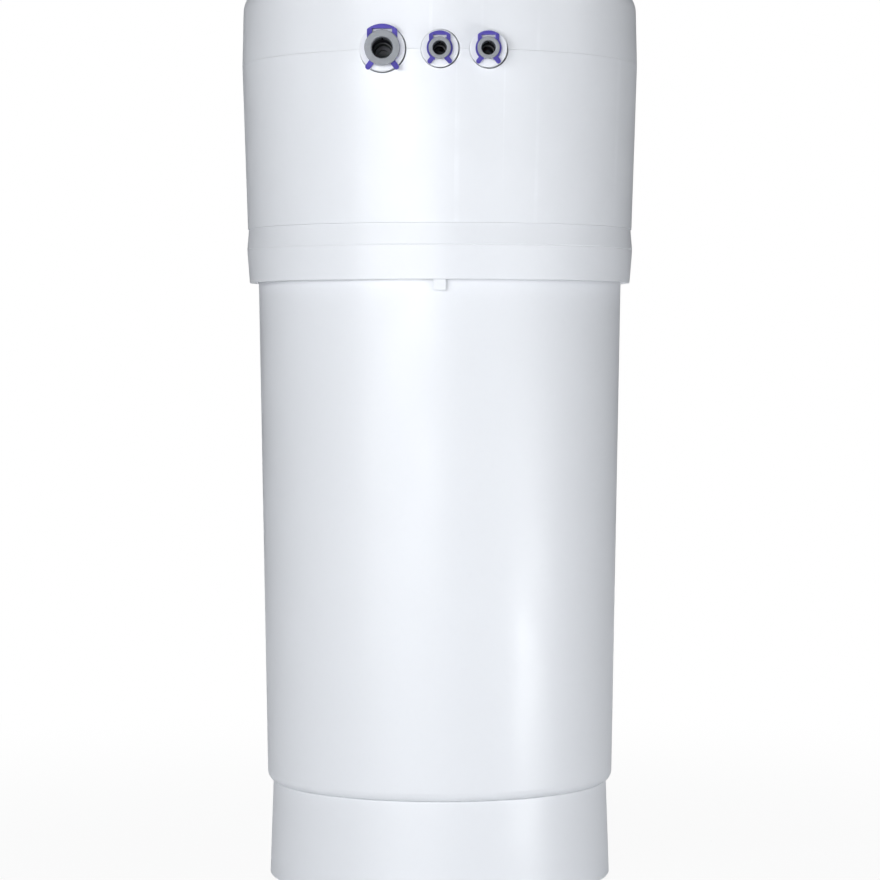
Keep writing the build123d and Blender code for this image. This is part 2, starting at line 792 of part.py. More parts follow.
# Shut-off valve on the head plate: body, plunger, diaphragm, cover and its line
shutoff_top = head_top + shutoff_body_height
cover_bottom = shutoff_top + diaphragm_height
cover_top = cover_bottom + shutoff_cover_height
plunger_bottom = shutoff_top - plunger_height
with BuildPart() as shutoff_body:
    column(shutoff_r, head_top, shutoff_top, line_spot)
    column(plunger_r + slide_gap, head_top + shutoff_floor, shutoff_top, line_spot,
           Mode.SUBTRACT)
    column(shutoff_r - shutoff_wall, shutoff_top - plunger_lift, shutoff_top, line_spot,
           Mode.SUBTRACT)
save(shutoff_body.part, "shutoff_body")

with BuildPart() as shutoff_plunger:
    column(plunger_r, plunger_bottom, shutoff_top, line_spot)
save(shutoff_plunger.part, "shutoff_plunger")

with BuildPart() as shutoff_diaphragm:
    column(shutoff_r, shutoff_top, cover_bottom, line_spot)
save(shutoff_diaphragm.part, "shutoff_diaphragm")

with BuildPart() as shutoff_cover:
    column(shutoff_r, cover_bottom, cover_top, line_spot)
    column(shutoff_r - shutoff_wall, cover_bottom, cover_bottom + plunger_lift, line_spot,
           Mode.SUBTRACT)
    column(line_bore_r, cover_bottom, cover_top, line_spot, Mode.SUBTRACT)
    column(line_r + snug_gap, cover_top - line_sink, cover_top, line_spot, Mode.SUBTRACT)
save(shutoff_cover.part, "shutoff_cover")

with BuildPart() as shutoff_line:
    column(line_r, cover_top - line_sink, line_top, line_spot)
    column(line_bore_r, cover_top - line_sink, line_top, line_spot, Mode.SUBTRACT)
save(shutoff_line.part, "shutoff_line")

# Flow restrictor under the drain gallery
restrictor_spot = (drain.x, gallery_y)
with BuildPart() as flow_restrictor:
    column(restrictor_r, manifold_bottom - restrictor_length, manifold_bottom, restrictor_spot)
    column(restrictor_neck_r, manifold_bottom, manifold_bottom + restrictor_neck_length,
           restrictor_spot)
    column(restrictor_bore_r, manifold_bottom - restrictor_length,
           manifold_bottom + restrictor_neck_length, restrictor_spot, Mode.SUBTRACT)
save(flow_restrictor.part, "flow_restrictor")

# Port fittings: white bosses that show on the rear, with the tube seal, the seat of the
# tube and a sealed stem that plugs into the manifold's wall
seal_front = -(collet_length + tube_seal_gap)
seal_back = seal_front - 2 * tube_seal_wire - 2 * snug_gap
stem_groove = -(fitting_length + stem_length / 2)
for port in ports:
    seat_r = port.bore_r + 2 * tube_seal_wire + snug_gap
    with BuildPart() as fitting:
        spin([
            (port.lip_r, 0),
            (port.boss_r, 0),
            (port.boss_r, -groove_front),
            (port.boss_r - retainer_groove, -groove_front),
            (port.boss_r - retainer_groove, -groove_back),
            (port.boss_r, -groove_back),
            (port.boss_r, -fitting_length),
            (port.stem_r, -fitting_length),
            (port.stem_r, stem_end),
            (port.channel_r, stem_end),
            (port.channel_r, -port.stop_depth),
            (port.bore_r + screw_play, -port.stop_depth),
            (port.bore_r + screw_play, seal_back),
            (seat_r, seal_back),
            (seat_r, seal_front),
            (port.chamber_r, seal_front),
            (port.chamber_r, -fitting_lip),
            (port.lip_r, -fitting_lip),
        ], plane=port.section, axis=port.axis)
        ring(port.stem_r - stem_groove_depth, port.stem_r + weld,
             stem_groove - stem_groove_width / 2, stem_groove + stem_groove_width / 2,
             Mode.SUBTRACT, port.section, port.axis)
    save(fitting.part, f"{port.name}_fitting")

with BuildPart() as tube_seals:
    for port in ports:
        seal(port.bore_r + tube_seal_wire + snug_gap / 2, tube_seal_wire,
             (seal_front + seal_back) / 2, port.section, port.axis)
save(tube_seals.part, "tube_seals")

with BuildPart() as stem_seals:
    for port in ports:
        seal(port.stem_r - stem_groove_depth + stem_seal_wire + screw_play / 2,
             stem_seal_wire, stem_groove, port.section, port.axis)
save(stem_seals.part, "stem_seals")

# Retainer: forked plate in the fittings' grooves, screwed to the manifold's wall
with BuildPart() as port_retainer:
    with BuildSketch(drain.front.offset(-groove_back)) as fork:
        with Locations((port_wall_middle, (port_wall_rise - retainer_drop) / 2)):
            Rectangle(port_wall_right - port_wall_left, port_wall_rise + retainer_drop)
        for port in ports:
            slot_r = port.boss_r - retainer_groove + retainer_play
            with Locations((port.x, 0)):
                Circle(slot_r, mode=Mode.SUBTRACT)
            with Locations((port.x, -retainer_drop / 2)):
                Rectangle(2 * slot_r, retainer_drop, mode=Mode.SUBTRACT)
    extrude(fork.sketch, amount=retainer_thickness)
    for spot in post_spots:
        column(retainer_post_r, -fitting_length, -groove_back, spot, plane=drain.front)
        column(screw_r + screw_hole_play, -fitting_length, -groove_front, spot,
               Mode.SUBTRACT, drain.front)
save(port_retainer.part, "port_retainer")

with BuildPart() as retainer_screws:
    for spot in post_spots:
        screw(spot, retainer_thickness - groove_back, -(fitting_length + screw_bite),
              drain.front)
save(retainer_screws.part, "retainer_screws")

# Collets: flanged grip sleeves with four slit fingers, one in each fitting
for port in ports:
    with BuildPart() as collet:
        spin([
            (port.bore_r, collet_face),
            (port.flange_r - collet_flange_edge, collet_face),
            (port.flange_r, collet_face - collet_flange_edge),
            (port.flange_r, flange_back),
            (port.neck_r, flange_back),
            (port.neck_r, -(fitting_lip + collet_travel + slide_gap)),
            (port.grip_r, -(fitting_lip + collet_travel + slide_gap)),
            (port.grip_r, slide_gap - collet_length),
            (port.grip_r - collet_flange_edge, -collet_length),
            (port.bore_r, -collet_length),
        ], plane=port.section, axis=port.axis)
        with BuildSketch(port.front.offset(-collet_length)) as slits:
            Rectangle(collet_slit, 2 * port.chamber_r)
            Rectangle(2 * port.chamber_r, collet_slit)
        extrude(slits.sketch, amount=collet_length - fitting_lip, mode=Mode.SUBTRACT)
    save(collet.part, f"{port.name}_collet")

# Locking clips: snap-on plates between boss and collet flange, with a pull arch above
# and two splayed legs below
for port in ports:
    arch_foot = port.clip_bore_r / 2
    window_top = port.arch_r - port.arch_top
    leg_start = (port.clip_bore_r + port.clip_r) / 2
    leg_middle = (leg_start + port.leg_reach) / 2
    mouth = port.arch_r * tan(radians(clip_mouth_angle))
    with BuildPart() as clip:
        with BuildSketch(port.front.offset(clip_back)) as outline:
            Circle(port.arch_r)
            Rectangle(2 * port.arch_half, 2 * port.arch_r, mode=Mode.INTERSECT)
            corners = [v for v in outline.vertices() if v.Y > arch_foot]
            fillet(corners, radius=arch_corner)
            with Locations((0, arch_foot - port.arch_r)):
                Rectangle(2 * port.arch_r, 2 * port.arch_r, mode=Mode.SUBTRACT)
            Circle(port.clip_r)
            with Locations((0, window_top - port.window_height / 2)):
                Rectangle(2 * (port.arch_half - port.arch_bar), port.window_height,
                          mode=Mode.SUBTRACT)
            for turn in (leg_angle - 90, -leg_angle - 90):
                with Locations(polar(leg_middle, turn)):
                    SlotCenterToCenter(port.leg_reach - leg_start, port.leg_width, turn)
            Circle(port.clip_bore_r, mode=Mode.SUBTRACT)
            Polygon((0, 0), (-mouth, -port.arch_r), (mouth, -port.arch_r), align=None,
                    mode=Mode.SUBTRACT)
        extrude(outline.sketch, amount=clip_thickness)
    save(clip.part, f"{port.name}_clip")

# Shroud: lower half of the head's cover, screwed to the head plate's upstand, with a
# tongue that centres the lid and the lower halves of the port holes
shroud_web_r = head_screw_circle - head_boss_r - weld
shroud_rim = seam - seam_gap / 2
shroud_rim_low = shroud_rim - shroud_rim_height
with BuildPart() as shroud:
    spin([
        (shroud_web_r, shroud_bottom),
        (shroud_low_r, shroud_bottom),
        (seam_r, shroud_rim),
        (tongue_r, shroud_rim),
        (tongue_r, tongue_top),
        (tongue_bore_r, tongue_top),
        (tongue_bore_r, shroud_rim_low),
        (seam_r - head_wall, shroud_rim_low),
        (shroud_low_r - head_wall, shroud_bottom + head_wall),
        (shroud_web_r, shroud_bottom + head_wall),
    ])
    for spot in head_spots:
        column(screw_r + screw_hole_play, shroud_bottom, shroud_bottom + head_wall, spot,
               Mode.SUBTRACT)
    for port in ports:
        drafted_hole(port)
save(shroud.part, "shroud")

with BuildPart() as shroud_screws:
    for spot in head_spots:
        screw(spot, shroud_bottom + head_wall, shroud_bottom - screw_bite)
save(shroud_screws.part, "shroud_screws")

# Lid: round cap with a slight draft, a rounded shoulder and a faint crown; a ledge
# inside rests on the shroud's tongue, and its edge has the ports' upper halves
lid_rim = seam + seam_gap / 2
lid_bore_r = tongue_r + slide_gap
lid_upper_r = lid_bore_r - lid_ledge
lid_flat_r = lid_r - lid_corner
ceiling_corner = lid_corner - head_wall
crown_r = (lid_flat_r**2 + lid_crown**2) / (2 * lid_crown)
crown_middle = lid_top + lid_crown - crown_r + sqrt(crown_r**2 - (lid_flat_r / 2) ** 2)
with BuildPart() as lid:
    with BuildSketch(Plane.XZ):
        with BuildLine():
            Polyline((lid_upper_r, tongue_top), (lid_bore_r, tongue_top),
                     (lid_bore_r, lid_rim), (seam_r, lid_rim), (lid_r, lid_shoulder))
            RadiusArc((lid_r, lid_shoulder), (lid_flat_r, lid_top), -lid_corner)
            ThreePointArc((lid_flat_r, lid_top), (lid_flat_r / 2, crown_middle),
                          (0, lid_top + lid_crown))
            Polyline((0, lid_top + lid_crown), (0, lid_ceiling),
                     (lid_upper_r - ceiling_corner, lid_ceiling))
            RadiusArc((lid_upper_r - ceiling_corner, lid_ceiling),
                      (lid_upper_r, lid_ceiling - ceiling_corner), ceiling_corner)
            Line((lid_upper_r, lid_ceiling - ceiling_corner), (lid_upper_r, tongue_top))
        make_face()
    revolve(axis=Axis.Z)
    for port in ports:
        drafted_hole(port)
save(lid.part, "lid")

# Lock ring: slides up over the tank, its lip under the flange and its lugs above the
# head plate's, with a crease line round its widest girth and a pull tab at the rear
ring_lip_top = ring_bottom + ring_lip_height
lug_low = head_top + slide_gap
tab_y = -(ring_lip_r + snug_gap)
with BuildPart() as lock_ring:
    spin([
        (ring_lip_r, ring_bottom),
        (ring_low_r, ring_bottom),
        (ring_crease_r, ring_crease - crease_depth),
        (ring_crease_r - crease_depth, ring_crease),
        (ring_crease_r, ring_crease + crease_depth),
        (ring_top_r, ring_top),
        (ring_bore_r, ring_top),
        (ring_bore_r, ring_lip_top),
        (ring_lip_r, ring_lip_top),
    ])
    lugs(lug_bore_r, ring_bore_r + weld, lug_low, lug_low + lug_height, lug_count, lug_angle)
    with BuildSketch(Plane(origin=(0, tab_y, 0), x_dir=(1, 0, 0), z_dir=(0, -1, 0))) as tab:
        with Locations((0, ring_bottom - tab_drop)):
            Rectangle(tab_width, tab_drop + weld, align=(Align.CENTER, Align.MIN))
        fillet(tab.vertices().group_by(Axis.Y)[0], radius=tab_corner)
    extrude(tab.sketch, amount=tab_thickness)
save(lock_ring.part, "lock_ring")

# Cartridges: capsule with its filter core, cap with twist lugs and grip, neck seals
capsule_bottom = well_bottom + well_floor + well_gap
capsule_top = manifold_bottom - neck_drop
capsule_bore_r = cartridge_r - capsule_wall
core_bottom = capsule_bottom + capsule_floor
core_top = capsule_top - spigot_length - core_play
cap_top = collar_top + cap_rise
cap_deck = cap_top - cap_rise
neck_groove_r = neck_r - neck_groove_depth
neck_seal_levels = [gallery_level + way * neck_groove_spacing / 2 for way in (-1, 1)]
cartridge_names = ["membrane", "polishing", "prefilter"]
for name, spot, turn in zip(cartridge_names, cartridge_spots, cartridge_turns):
    plane, axis = upright(spot)
    grip_plane = facing(spot, turn).offset(cap_deck - weld)
    with BuildPart() as capsule:
        column(cartridge_r, capsule_bottom, capsule_top, spot)
        column(capsule_bore_r, core_bottom, capsule_top, spot, Mode.SUBTRACT)
        column(core_r, capsule_bottom, core_bottom, spot, Mode.SUBTRACT)
    save(capsule.part, f"{name}_capsule")

    with BuildPart() as core:
        column(capsule_bore_r - core_play, core_bottom, core_top, spot)
        column(core_r, core_bottom, core_top, spot, Mode.SUBTRACT)
    save(core.part, f"{name}_core")

    with BuildPart() as cap:
        column(cartridge_r, capsule_top, cap_top, spot)
        column(neck_r, manifold_bottom + slide_gap, cap_top, spot)
        column(capsule_bore_r - slide_gap, capsule_top - spigot_length, capsule_top, spot)
        column(neck_r - neck_bore_inset, capsule_top - spigot_length,
               cap_deck - cap_deck_height, spot, Mode.SUBTRACT)
        column(neck_r - cap_rim_wall, cap_deck, cap_top, spot, Mode.SUBTRACT)
        lugs(neck_r - weld, twist_lug_r, manifold_top + slide_gap,
             collar_top - overhang_height - slide_gap, 2, twist_lug_angle,
             facing(spot, turn))
        for level in neck_seal_levels:
            ring(neck_groove_r, neck_r + weld, level - neck_groove_height / 2,
                 level + neck_groove_height / 2, Mode.SUBTRACT, plane, axis)
        with BuildSketch(grip_plane) as grip:
            SlotOverall(2 * (neck_r - cap_rim_wall) - grip_edge, grip_width, rotation=90)
        extrude(grip.sketch, amount=grip_top - cap_deck + weld)
        fillet(cap.edges().group_by(Axis.Z)[-1], radius=grip_edge)
    save(cap.part, f"{name}_cap")

    with BuildPart() as neck_seals:
        for level in neck_seal_levels:
            seal(neck_groove_r + neck_seal_wire + screw_play / 2, neck_seal_wire, level,
                 plane, axis)
    save(neck_seals.part, f"{name}_seals")
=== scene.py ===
import json
from math import acos, atan2, cos, pi, radians, sin, sqrt, tan

import bmesh
import bpy
from mathutils import Matrix, Vector


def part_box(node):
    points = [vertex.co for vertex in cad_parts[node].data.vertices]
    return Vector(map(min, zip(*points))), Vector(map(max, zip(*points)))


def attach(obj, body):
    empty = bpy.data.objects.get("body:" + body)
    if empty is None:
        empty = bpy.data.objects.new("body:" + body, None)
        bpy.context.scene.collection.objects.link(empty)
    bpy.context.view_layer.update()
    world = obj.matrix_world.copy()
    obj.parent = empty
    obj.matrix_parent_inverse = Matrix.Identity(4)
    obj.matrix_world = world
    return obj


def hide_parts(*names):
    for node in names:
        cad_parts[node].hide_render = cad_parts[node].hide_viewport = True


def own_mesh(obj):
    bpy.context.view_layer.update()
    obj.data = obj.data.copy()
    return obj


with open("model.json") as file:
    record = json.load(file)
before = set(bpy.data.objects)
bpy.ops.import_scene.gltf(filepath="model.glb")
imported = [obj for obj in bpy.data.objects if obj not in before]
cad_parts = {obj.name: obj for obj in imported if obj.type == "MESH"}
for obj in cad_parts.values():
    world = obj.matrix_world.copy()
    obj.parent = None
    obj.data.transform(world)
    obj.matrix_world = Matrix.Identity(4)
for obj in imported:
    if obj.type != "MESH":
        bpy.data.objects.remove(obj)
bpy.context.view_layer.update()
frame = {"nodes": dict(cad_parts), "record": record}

mm = 0.001

# Camera: a long lens level with the upper half of the tank, tilted down a little. The body
# is taller than the picture, which crops it at the lid's top and at the floor.
camera_distance = 1.5
camera_height = 0.2622
camera_side = 0.14 * mm
camera_tilt = radians(1.731)
camera_lens = 122.71
camera_sensor = 36
camera_reach = 50
camera_data = bpy.data.cameras.new("camera")
camera_data.lens = camera_lens
camera_data.sensor_width = camera_sensor
camera_data.clip_end = camera_reach
camera = bpy.data.objects.new("camera", camera_data)
camera.location = (camera_side, -camera_distance, camera_height)
camera.rotation_euler = (pi / 2 - camera_tilt, 0, 0)
bpy.context.scene.collection.objects.link(camera)
bpy.context.scene.camera = camera

# Base skirt: an injection-moulded white ring that flares down to the floor and carries
# the tank on an inner web. A toe ring at the floor and ribs stiffen it, and four screws
# hold it up against the tank's bosses.
base_low, base_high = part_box("base_skirt")
turn_steps = 256
arc_steps = 4
edge_band = 0.35 * mm
same_point = 0.001 * mm
cut_merge = 0.004 * mm
overlap = 0.5 * mm
overcut = 1.0 * mm
cool_white = (0.80, 0.815, 0.845)
base_flare = 1.6 * mm
base_wall = 3.0 * mm
base_rim = base_high.z + 1.3 * mm
base_low_r = base_high.x
base_top_r = base_low_r - base_flare
base_edge = 0.5 * mm
base_inner_edge = 0.4 * mm
web_edge = 0.3 * mm
base_edge_steps = 3
web_drop = 3.0 * mm
web_height = 3.3 * mm
web_bore_r = 67.5 * mm
toe_width = 12.0 * mm
toe_height = 4.0 * mm
rib_count = 12
rib_width = 2.4 * mm
rib_inset = 1.0 * mm
foot_r = 4.6 * mm
foot_circle = base_low_r - toe_width / 2
foot_sink = 1.5 * mm
screw_count = 4
screw_hole_r = 1.7 * mm
screw_steps = 24
foot_steps = 32
dome_edge_r = 69.0 * mm
base_screw_circle = (base_top_r - base_wall + dome_edge_r) / 2
tank_lift = 0.7 * mm


def rounded(corners, steps=arc_steps):
    """A closed outline from (radius, level, rounding) corners, each rounding drawn as an arc
    with a narrow band beside it that keeps the shading of the flat stretches even."""
    count = len(corners)
    places = [Vector(corner[:2]) for corner in corners]
    sides = [places[(i + 1) % count] - places[i] for i in range(count)]
    halves = [(-sides[i - 1]).angle(sides[i]) / 2 for i in range(count)]
    reaches = [corners[i][2] / tan(halves[i]) for i in range(count)]
    rooms = [sides[i].length - reaches[i] - reaches[(i + 1) % count] for i in range(count)]
    points = []
    for i in range(count):
        here, rounding = places[i], corners[i][2]
        if not rounding:
            points.append(here)
            continue
        back, ahead = -sides[i - 1].normalized(), sides[i].normalized()
        centre = here + (back + ahead).normalized() * rounding / sin(halves[i])
        first = here + back * reaches[i] - centre
        last = here + ahead * reaches[i] - centre
        start = atan2(first.y, first.x)
        turn = (atan2(last.y, last.x) - start + pi) % (2 * pi) - pi
        points.append(here + back * (reaches[i] + min(edge_band, rooms[i - 1] / 3)))
        for k in range(steps + 1):
            angle = start + turn * k / steps
            points.append(centre + rounding * Vector((cos(angle), sin(angle))))
        points.append(here + ahead * (reaches[i] + min(edge_band, rooms[i] / 3)))
    return points


def lathe(outline, steps=turn_steps):
    """Turns an outline of (radius, level) points about the Z axis into a closed shape. An
    outline that starts and ends on the axis is closed there."""
    bm = bmesh.new()
    verts = [bm.verts.new((r, 0, z)) for r, z in outline]
    pairs = list(zip(verts, verts[1:]))
    if max(outline[0][0], outline[-1][0]) > same_point:
        pairs.append((verts[-1], verts[0]))
    edges = [bm.edges.new(pair) for pair in pairs]
    bmesh.ops.spin(bm, geom=verts + edges, cent=(0, 0, 0), axis=(0, 0, 1), dvec=(0, 0, 0),
                   angle=2 * pi, steps=steps, use_merge=True, use_duplicate=False)
    bmesh.ops.remove_doubles(bm, verts=bm.verts, dist=same_point)
    bmesh.ops.recalc_face_normals(bm, faces=bm.faces)
    return bm


def rod(radius, low, high, at=(0, 0), segments=48, top_radius=None):
    """An upright round bar, or a tapered one, between two levels."""
    bm = bmesh.new()
    top = radius if top_radius is None else top_radius
    bmesh.ops.create_cone(bm, cap_ends=True, cap_tris=False, segments=segments, radius1=radius,
                          radius2=top, depth=high - low,
                          matrix=Matrix.Translation((*at, (low + high) / 2)))
    return bm


def block(low, high, turn=0.0):
    """A box between two corners, turned about the Z axis."""
    bm = bmesh.new()
    size = Vector(high) - Vector(low)
    middle = (Vector(high) + Vector(low)) / 2
    matrix = (Matrix.Rotation(turn, 4, "Z") @ Matrix.Translation(middle)
              @ Matrix.Diagonal((*size, 1)))
    bmesh.ops.create_cube(bm, size=1, matrix=matrix)
    return bm


def combine(body, tools, operation="DIFFERENCE"):
    """The body with the tools cut out of it, or joined to it. Slits that a cut leaves between
    stray points are closed."""
    for tool in tools:
        pair = []
        for bm in (body, tool):
            mesh = bpy.data.meshes.new("work")
            bm.to_mesh(mesh)
            bm.free()
            pair.append(bpy.data.objects.new("work", mesh))
            bpy.context.scene.collection.objects.link(pair[-1])
        step = pair[0].modifiers.new("step", "BOOLEAN")
        step.object = pair[1]
        step.operation = operation
        step.solver = "EXACT"
        bpy.context.view_layer.update()
        done = bpy.data.meshes.new_from_object(
            pair[0].evaluated_get(bpy.context.evaluated_depsgraph_get()))
        body = bmesh.new()
        body.from_mesh(done)
        bmesh.ops.remove_doubles(body, verts=body.verts, dist=cut_merge)
        bmesh.ops.dissolve_degenerate(body, dist=cut_merge / 2, edges=body.edges)
        slits = [edge for edge in body.edges if len(edge.link_faces) == 1]
        bmesh.ops.holes_fill(body, edges=slits, sides=0)
        bpy.data.meshes.remove(done)
        for work in pair:
            bpy.data.meshes.remove(work.data)
    return body


def polar(radius, angle):
    """The point at a radius and an angle in degrees about the tank's axis."""
    return (radius * cos(radians(angle)), radius * sin(radians(angle)))


def spots(circle, count, first=45):
    """Points spaced evenly on a circle about the tank's axis."""
    return [polar(circle, first + i * 360 / count) for i in range(count)]


def settle(bm, name, body, material, slot, *nodes, even=False):
    """Makes a finished shape a piece that rides on a body and stands for its nodes."""
    mesh = bpy.data.meshes.new(name)
    bm.to_mesh(mesh)
    bm.free()
    mesh.shade_smooth()
    piece = bpy.data.objects.new(name, mesh)
    bpy.context.scene.collection.objects.link(piece)
    mesh.materials.append(material)
    if even:
        step = piece.modifiers.new("even_shading", "WEIGHTED_NORMAL")
        step.keep_sharp = False
        step.weight = 100
    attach(piece, body)
    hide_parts(*nodes)
    return piece


class Finish:
    """A surface's shader and the few node chains that its detail is built from."""

    def __init__(self, name, colour, roughness, metallic=0.0):
        self.material = bpy.data.materials.new(name)
        self.material.use_nodes = True
        self.tree = self.material.node_tree
        self.shader = self.tree.nodes["Principled BSDF"]
        self.shader.inputs["Base Color"].default_value = (*colour, 1)
        self.shader.inputs["Roughness"].default_value = roughness
        self.shader.inputs["Metallic"].default_value = metallic
        self.colour = tuple(colour)
        self.tint = None
        self.bumps = None
        self.place = self.add("ShaderNodeTexCoord").outputs["Object"]

    def add(self, kind, **values):
        """A new node, with its properties and its unlinked inputs set by name."""
        node = self.tree.nodes.new(kind)
        for key, value in values.items():
            socket = node.inputs.get(key.replace("_", " "))
            if socket is None:
                setattr(node, key, value)
            elif isinstance(value, bpy.types.NodeSocket):
                self.tree.links.new(value, socket)
            else:
                socket.default_value = value
        return node

    def noise(self, scale, detail=3.0, stretch=(1, 1, 1)):
        """Grain of a size given by its scale per metre, drawn out along an axis by a stretch."""
        where = self.place
        if stretch != (1, 1, 1):
            where = self.add("ShaderNodeMapping", Vector=where, Scale=stretch).outputs["Vector"]
        return self.add("ShaderNodeTexNoise", Vector=where, Scale=scale,
                        Detail=detail).outputs["Fac"]

    def ramp(self, value, low, high, first=0.0, last=1.0):
        """Spreads the part of a value between two marks over a new range."""
        return self.add("ShaderNodeMapRange", Value=value, From_Min=low, From_Max=high,
                        To_Min=first, To_Max=last).outputs["Result"]

    def blend(self, amount, colour):
        """Lays another colour over the surface by an amount."""
        mix = self.add("ShaderNodeMix", data_type="RGBA")
        self.tree.links.new(amount, mix.inputs["Factor"])
        if self.tint is None:
            mix.inputs[6].default_value = (*self.colour, 1)
        else:
            self.tree.links.new(self.tint, mix.inputs[6])
        mix.inputs[7].default_value = (*colour, 1)
        self.tint = mix.outputs[2]
        self.tree.links.new(self.tint, self.shader.inputs["Base Color"])

    def rough(self, value, low, high):
        """Lets the roughness wander between two values with a noise."""
        wander = self.ramp(value, 0.3, 0.7, low, high)
        self.tree.links.new(wander, self.shader.inputs["Roughness"])

    def bump(self, height, depth, strength=1.0):
        """Raises the surface by a height pattern of a depth in metres."""
        bump = self.add("ShaderNodeBump", Height=height, Distance=depth, Strength=strength)
        if self.bumps is not None:
            self.tree.links.new(self.bumps, bump.inputs["Normal"])
        self.bumps = bump.outputs["Normal"]
        self.tree.links.new(self.bumps, self.shader.inputs["Normal"])

    def worn(self, colour, first=0.515, full=0.6):
        """Shows another colour on outer edges, patchily, where hands and cloths rub."""
        bend = self.add("ShaderNodeNewGeometry").outputs["Pointiness"]
        edge = self.ramp(bend, first, full)
        patch = self.ramp(self.noise(60), 0.35, 0.65, 0.3, 1.0)
        both = self.add("ShaderNodeMath", operation="MULTIPLY")
        self.tree.links.new(edge, both.inputs[0])
        self.tree.links.new(patch, both.inputs[1])
        self.blend(both.outputs[0], colour)


def moulded_white(name, colour, roughness, bore_shade_colour=None):
    """Cool white gloss plastic: faint mottling, a very fine mould texture and a slight
    waviness that breaks the reflections, with paler edges. Where a shade colour is given, it
    darkens the marked part of the mesh as painted shade deep inside a bore."""
    finish = Finish(name, colour, roughness)
    shade = tuple(0.955 * c for c in colour)
    finish.blend(finish.ramp(finish.noise(9, 4), 0.42, 0.7, 0, 0.5), shade)
    finish.blend(finish.ramp(finish.noise(420, 2), 0.55, 0.8, 0, 0.22), shade)
    finish.worn(tuple(min(1, 1.05 * c) for c in colour))
    if bore_shade_colour:
        mark = finish.add("ShaderNodeAttribute", attribute_name="bore_shade_mark")
        finish.blend(mark.outputs["Fac"], bore_shade_colour)
    finish.rough(finish.noise(35, 4), roughness - 0.05, roughness + 0.07)
    finish.bump(finish.noise(45, 2), 0.02 * mm)
    finish.bump(finish.noise(2600, 2), 0.004 * mm)
    return finish.material


white_base = moulded_white("white_base", cool_white, 0.36)
toe_bore_r = base_low_r - toe_width
base_bore_r = base_top_r - base_wall
web_top = base_high.z + tank_lift - web_drop
web_low = web_top - web_height
base_shape = lathe(rounded([
    (base_low_r, base_low.z, base_edge),
    (base_top_r, base_rim, base_edge),
    (base_bore_r, base_rim, base_inner_edge),
    (base_bore_r, web_top, 0),
    (web_bore_r, web_top, web_edge),
    (web_bore_r, web_low, web_edge),
    (base_bore_r, web_low, 0),
    (base_low_r - base_wall, base_low.z + toe_height, 0),
    (toe_bore_r, base_low.z + toe_height, web_edge),
    (toe_bore_r, base_low.z, web_edge),
], base_edge_steps))
ribs = [block((toe_bore_r + rib_inset, -rib_width / 2, base_low.z + toe_height - overlap),
              (base_top_r - rib_inset, rib_width / 2, web_low + overlap),
              2 * pi * i / rib_count) for i in range(rib_count)]
base_shape = combine(base_shape, ribs, "UNION")
holes = [rod(screw_hole_r, web_low - overcut, web_top + overcut, at, screw_steps)
         for at in spots(base_screw_circle, screw_count)]
holes += [rod(foot_r, base_low.z - overcut, base_low.z + foot_sink, at, foot_steps)
          for at in spots(foot_circle, screw_count)]
base_shape = combine(base_shape, holes)
settle(base_shape, "base_skirt_moulding", "root", white_base, "white_base", "base_skirt",
       even=True)

# Tank: a blow-moulded white shell with a slight draft and a rounded lower corner. Its
# floor is domed down over the air valve, and a flange at the mouth takes the lock ring.
tank_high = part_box("tank_shell")[1]
tank_wall = 4.0 * mm
tank_corner_r = 5.6 * mm
tank_corner_steps = 10
tank_seam = 0.08 * mm
rim_overlap = 0.1 * mm
tank_taper = 4.15 * mm
flange_lip = 1.85 * mm
flange_height = 5.5 * mm
ledge_drop = 12.0 * mm
ledge_width = 2.5 * mm
dome_depth = 26.0 * mm
dome_edge_inset = 17.0 * mm
dome_pad_r = 10.0 * mm
valve_hole_r = 3.95 * mm
flange_edge = 0.3 * mm
mouth_edge = 0.4 * mm
dome_edge = 0.5 * mm
tank_edge_steps = 8
heel_inset = 1.0 * mm
ring_lip_drop = 3.2 * mm
pilot_r = 1.55 * mm
pilot_depth = 5.5 * mm
boss_steps = 32
tank_bottom = base_high.z + tank_lift
tank_floor = tank_bottom + tank_wall
tank_heel = base_rim + tank_seam
rim = tank_high.z
flange_bottom = rim - flange_height
ring_bottom = flange_bottom - ring_lip_drop
flange_r = tank_high.x
tank_r = flange_r - flange_lip
tank_low_r = tank_r - tank_taper
tank_bore_r = tank_r - tank_wall
ledge = ring_bottom - ledge_drop
dome_r = tank_low_r - dome_edge_inset
dome_bore_r = dome_r - tank_wall
tank_boss_r = 4.5 * mm


def arc(start, middle, end, steps=12):
    """Points between two (radius, level) ends on the circle through a third point."""
    (ax, ay), (bx, by), (cx, cy) = start, middle, end
    d = 2 * (ax * (by - cy) + bx * (cy - ay) + cx * (ay - by))
    a2, b2, c2 = ax * ax + ay * ay, bx * bx + by * by, cx * cx + cy * cy
    centre = Vector(((a2 * (by - cy) + b2 * (cy - ay) + c2 * (ay - by)) / d,
                     (a2 * (cx - bx) + b2 * (ax - cx) + c2 * (bx - ax)) / d))
    first, last = Vector(start) - centre, Vector(end) - centre
    begin = atan2(first.y, first.x)
    turn = (atan2(last.y, last.x) - begin + pi) % (2 * pi) - pi
    angles = [begin + turn * k / steps for k in range(1, steps)]
    return [centre + first.length * Vector((cos(angle), sin(angle))) for angle in angles]


def dome_level(radius, shift=0.0):
    """Height of the domed floor's outside at a radius, or of a surface a wall inside it."""
    sphere = (dome_r**2 + dome_depth**2) / (2 * dome_depth)
    return tank_bottom - dome_depth + sphere - sqrt((sphere - shift) ** 2 - radius**2)


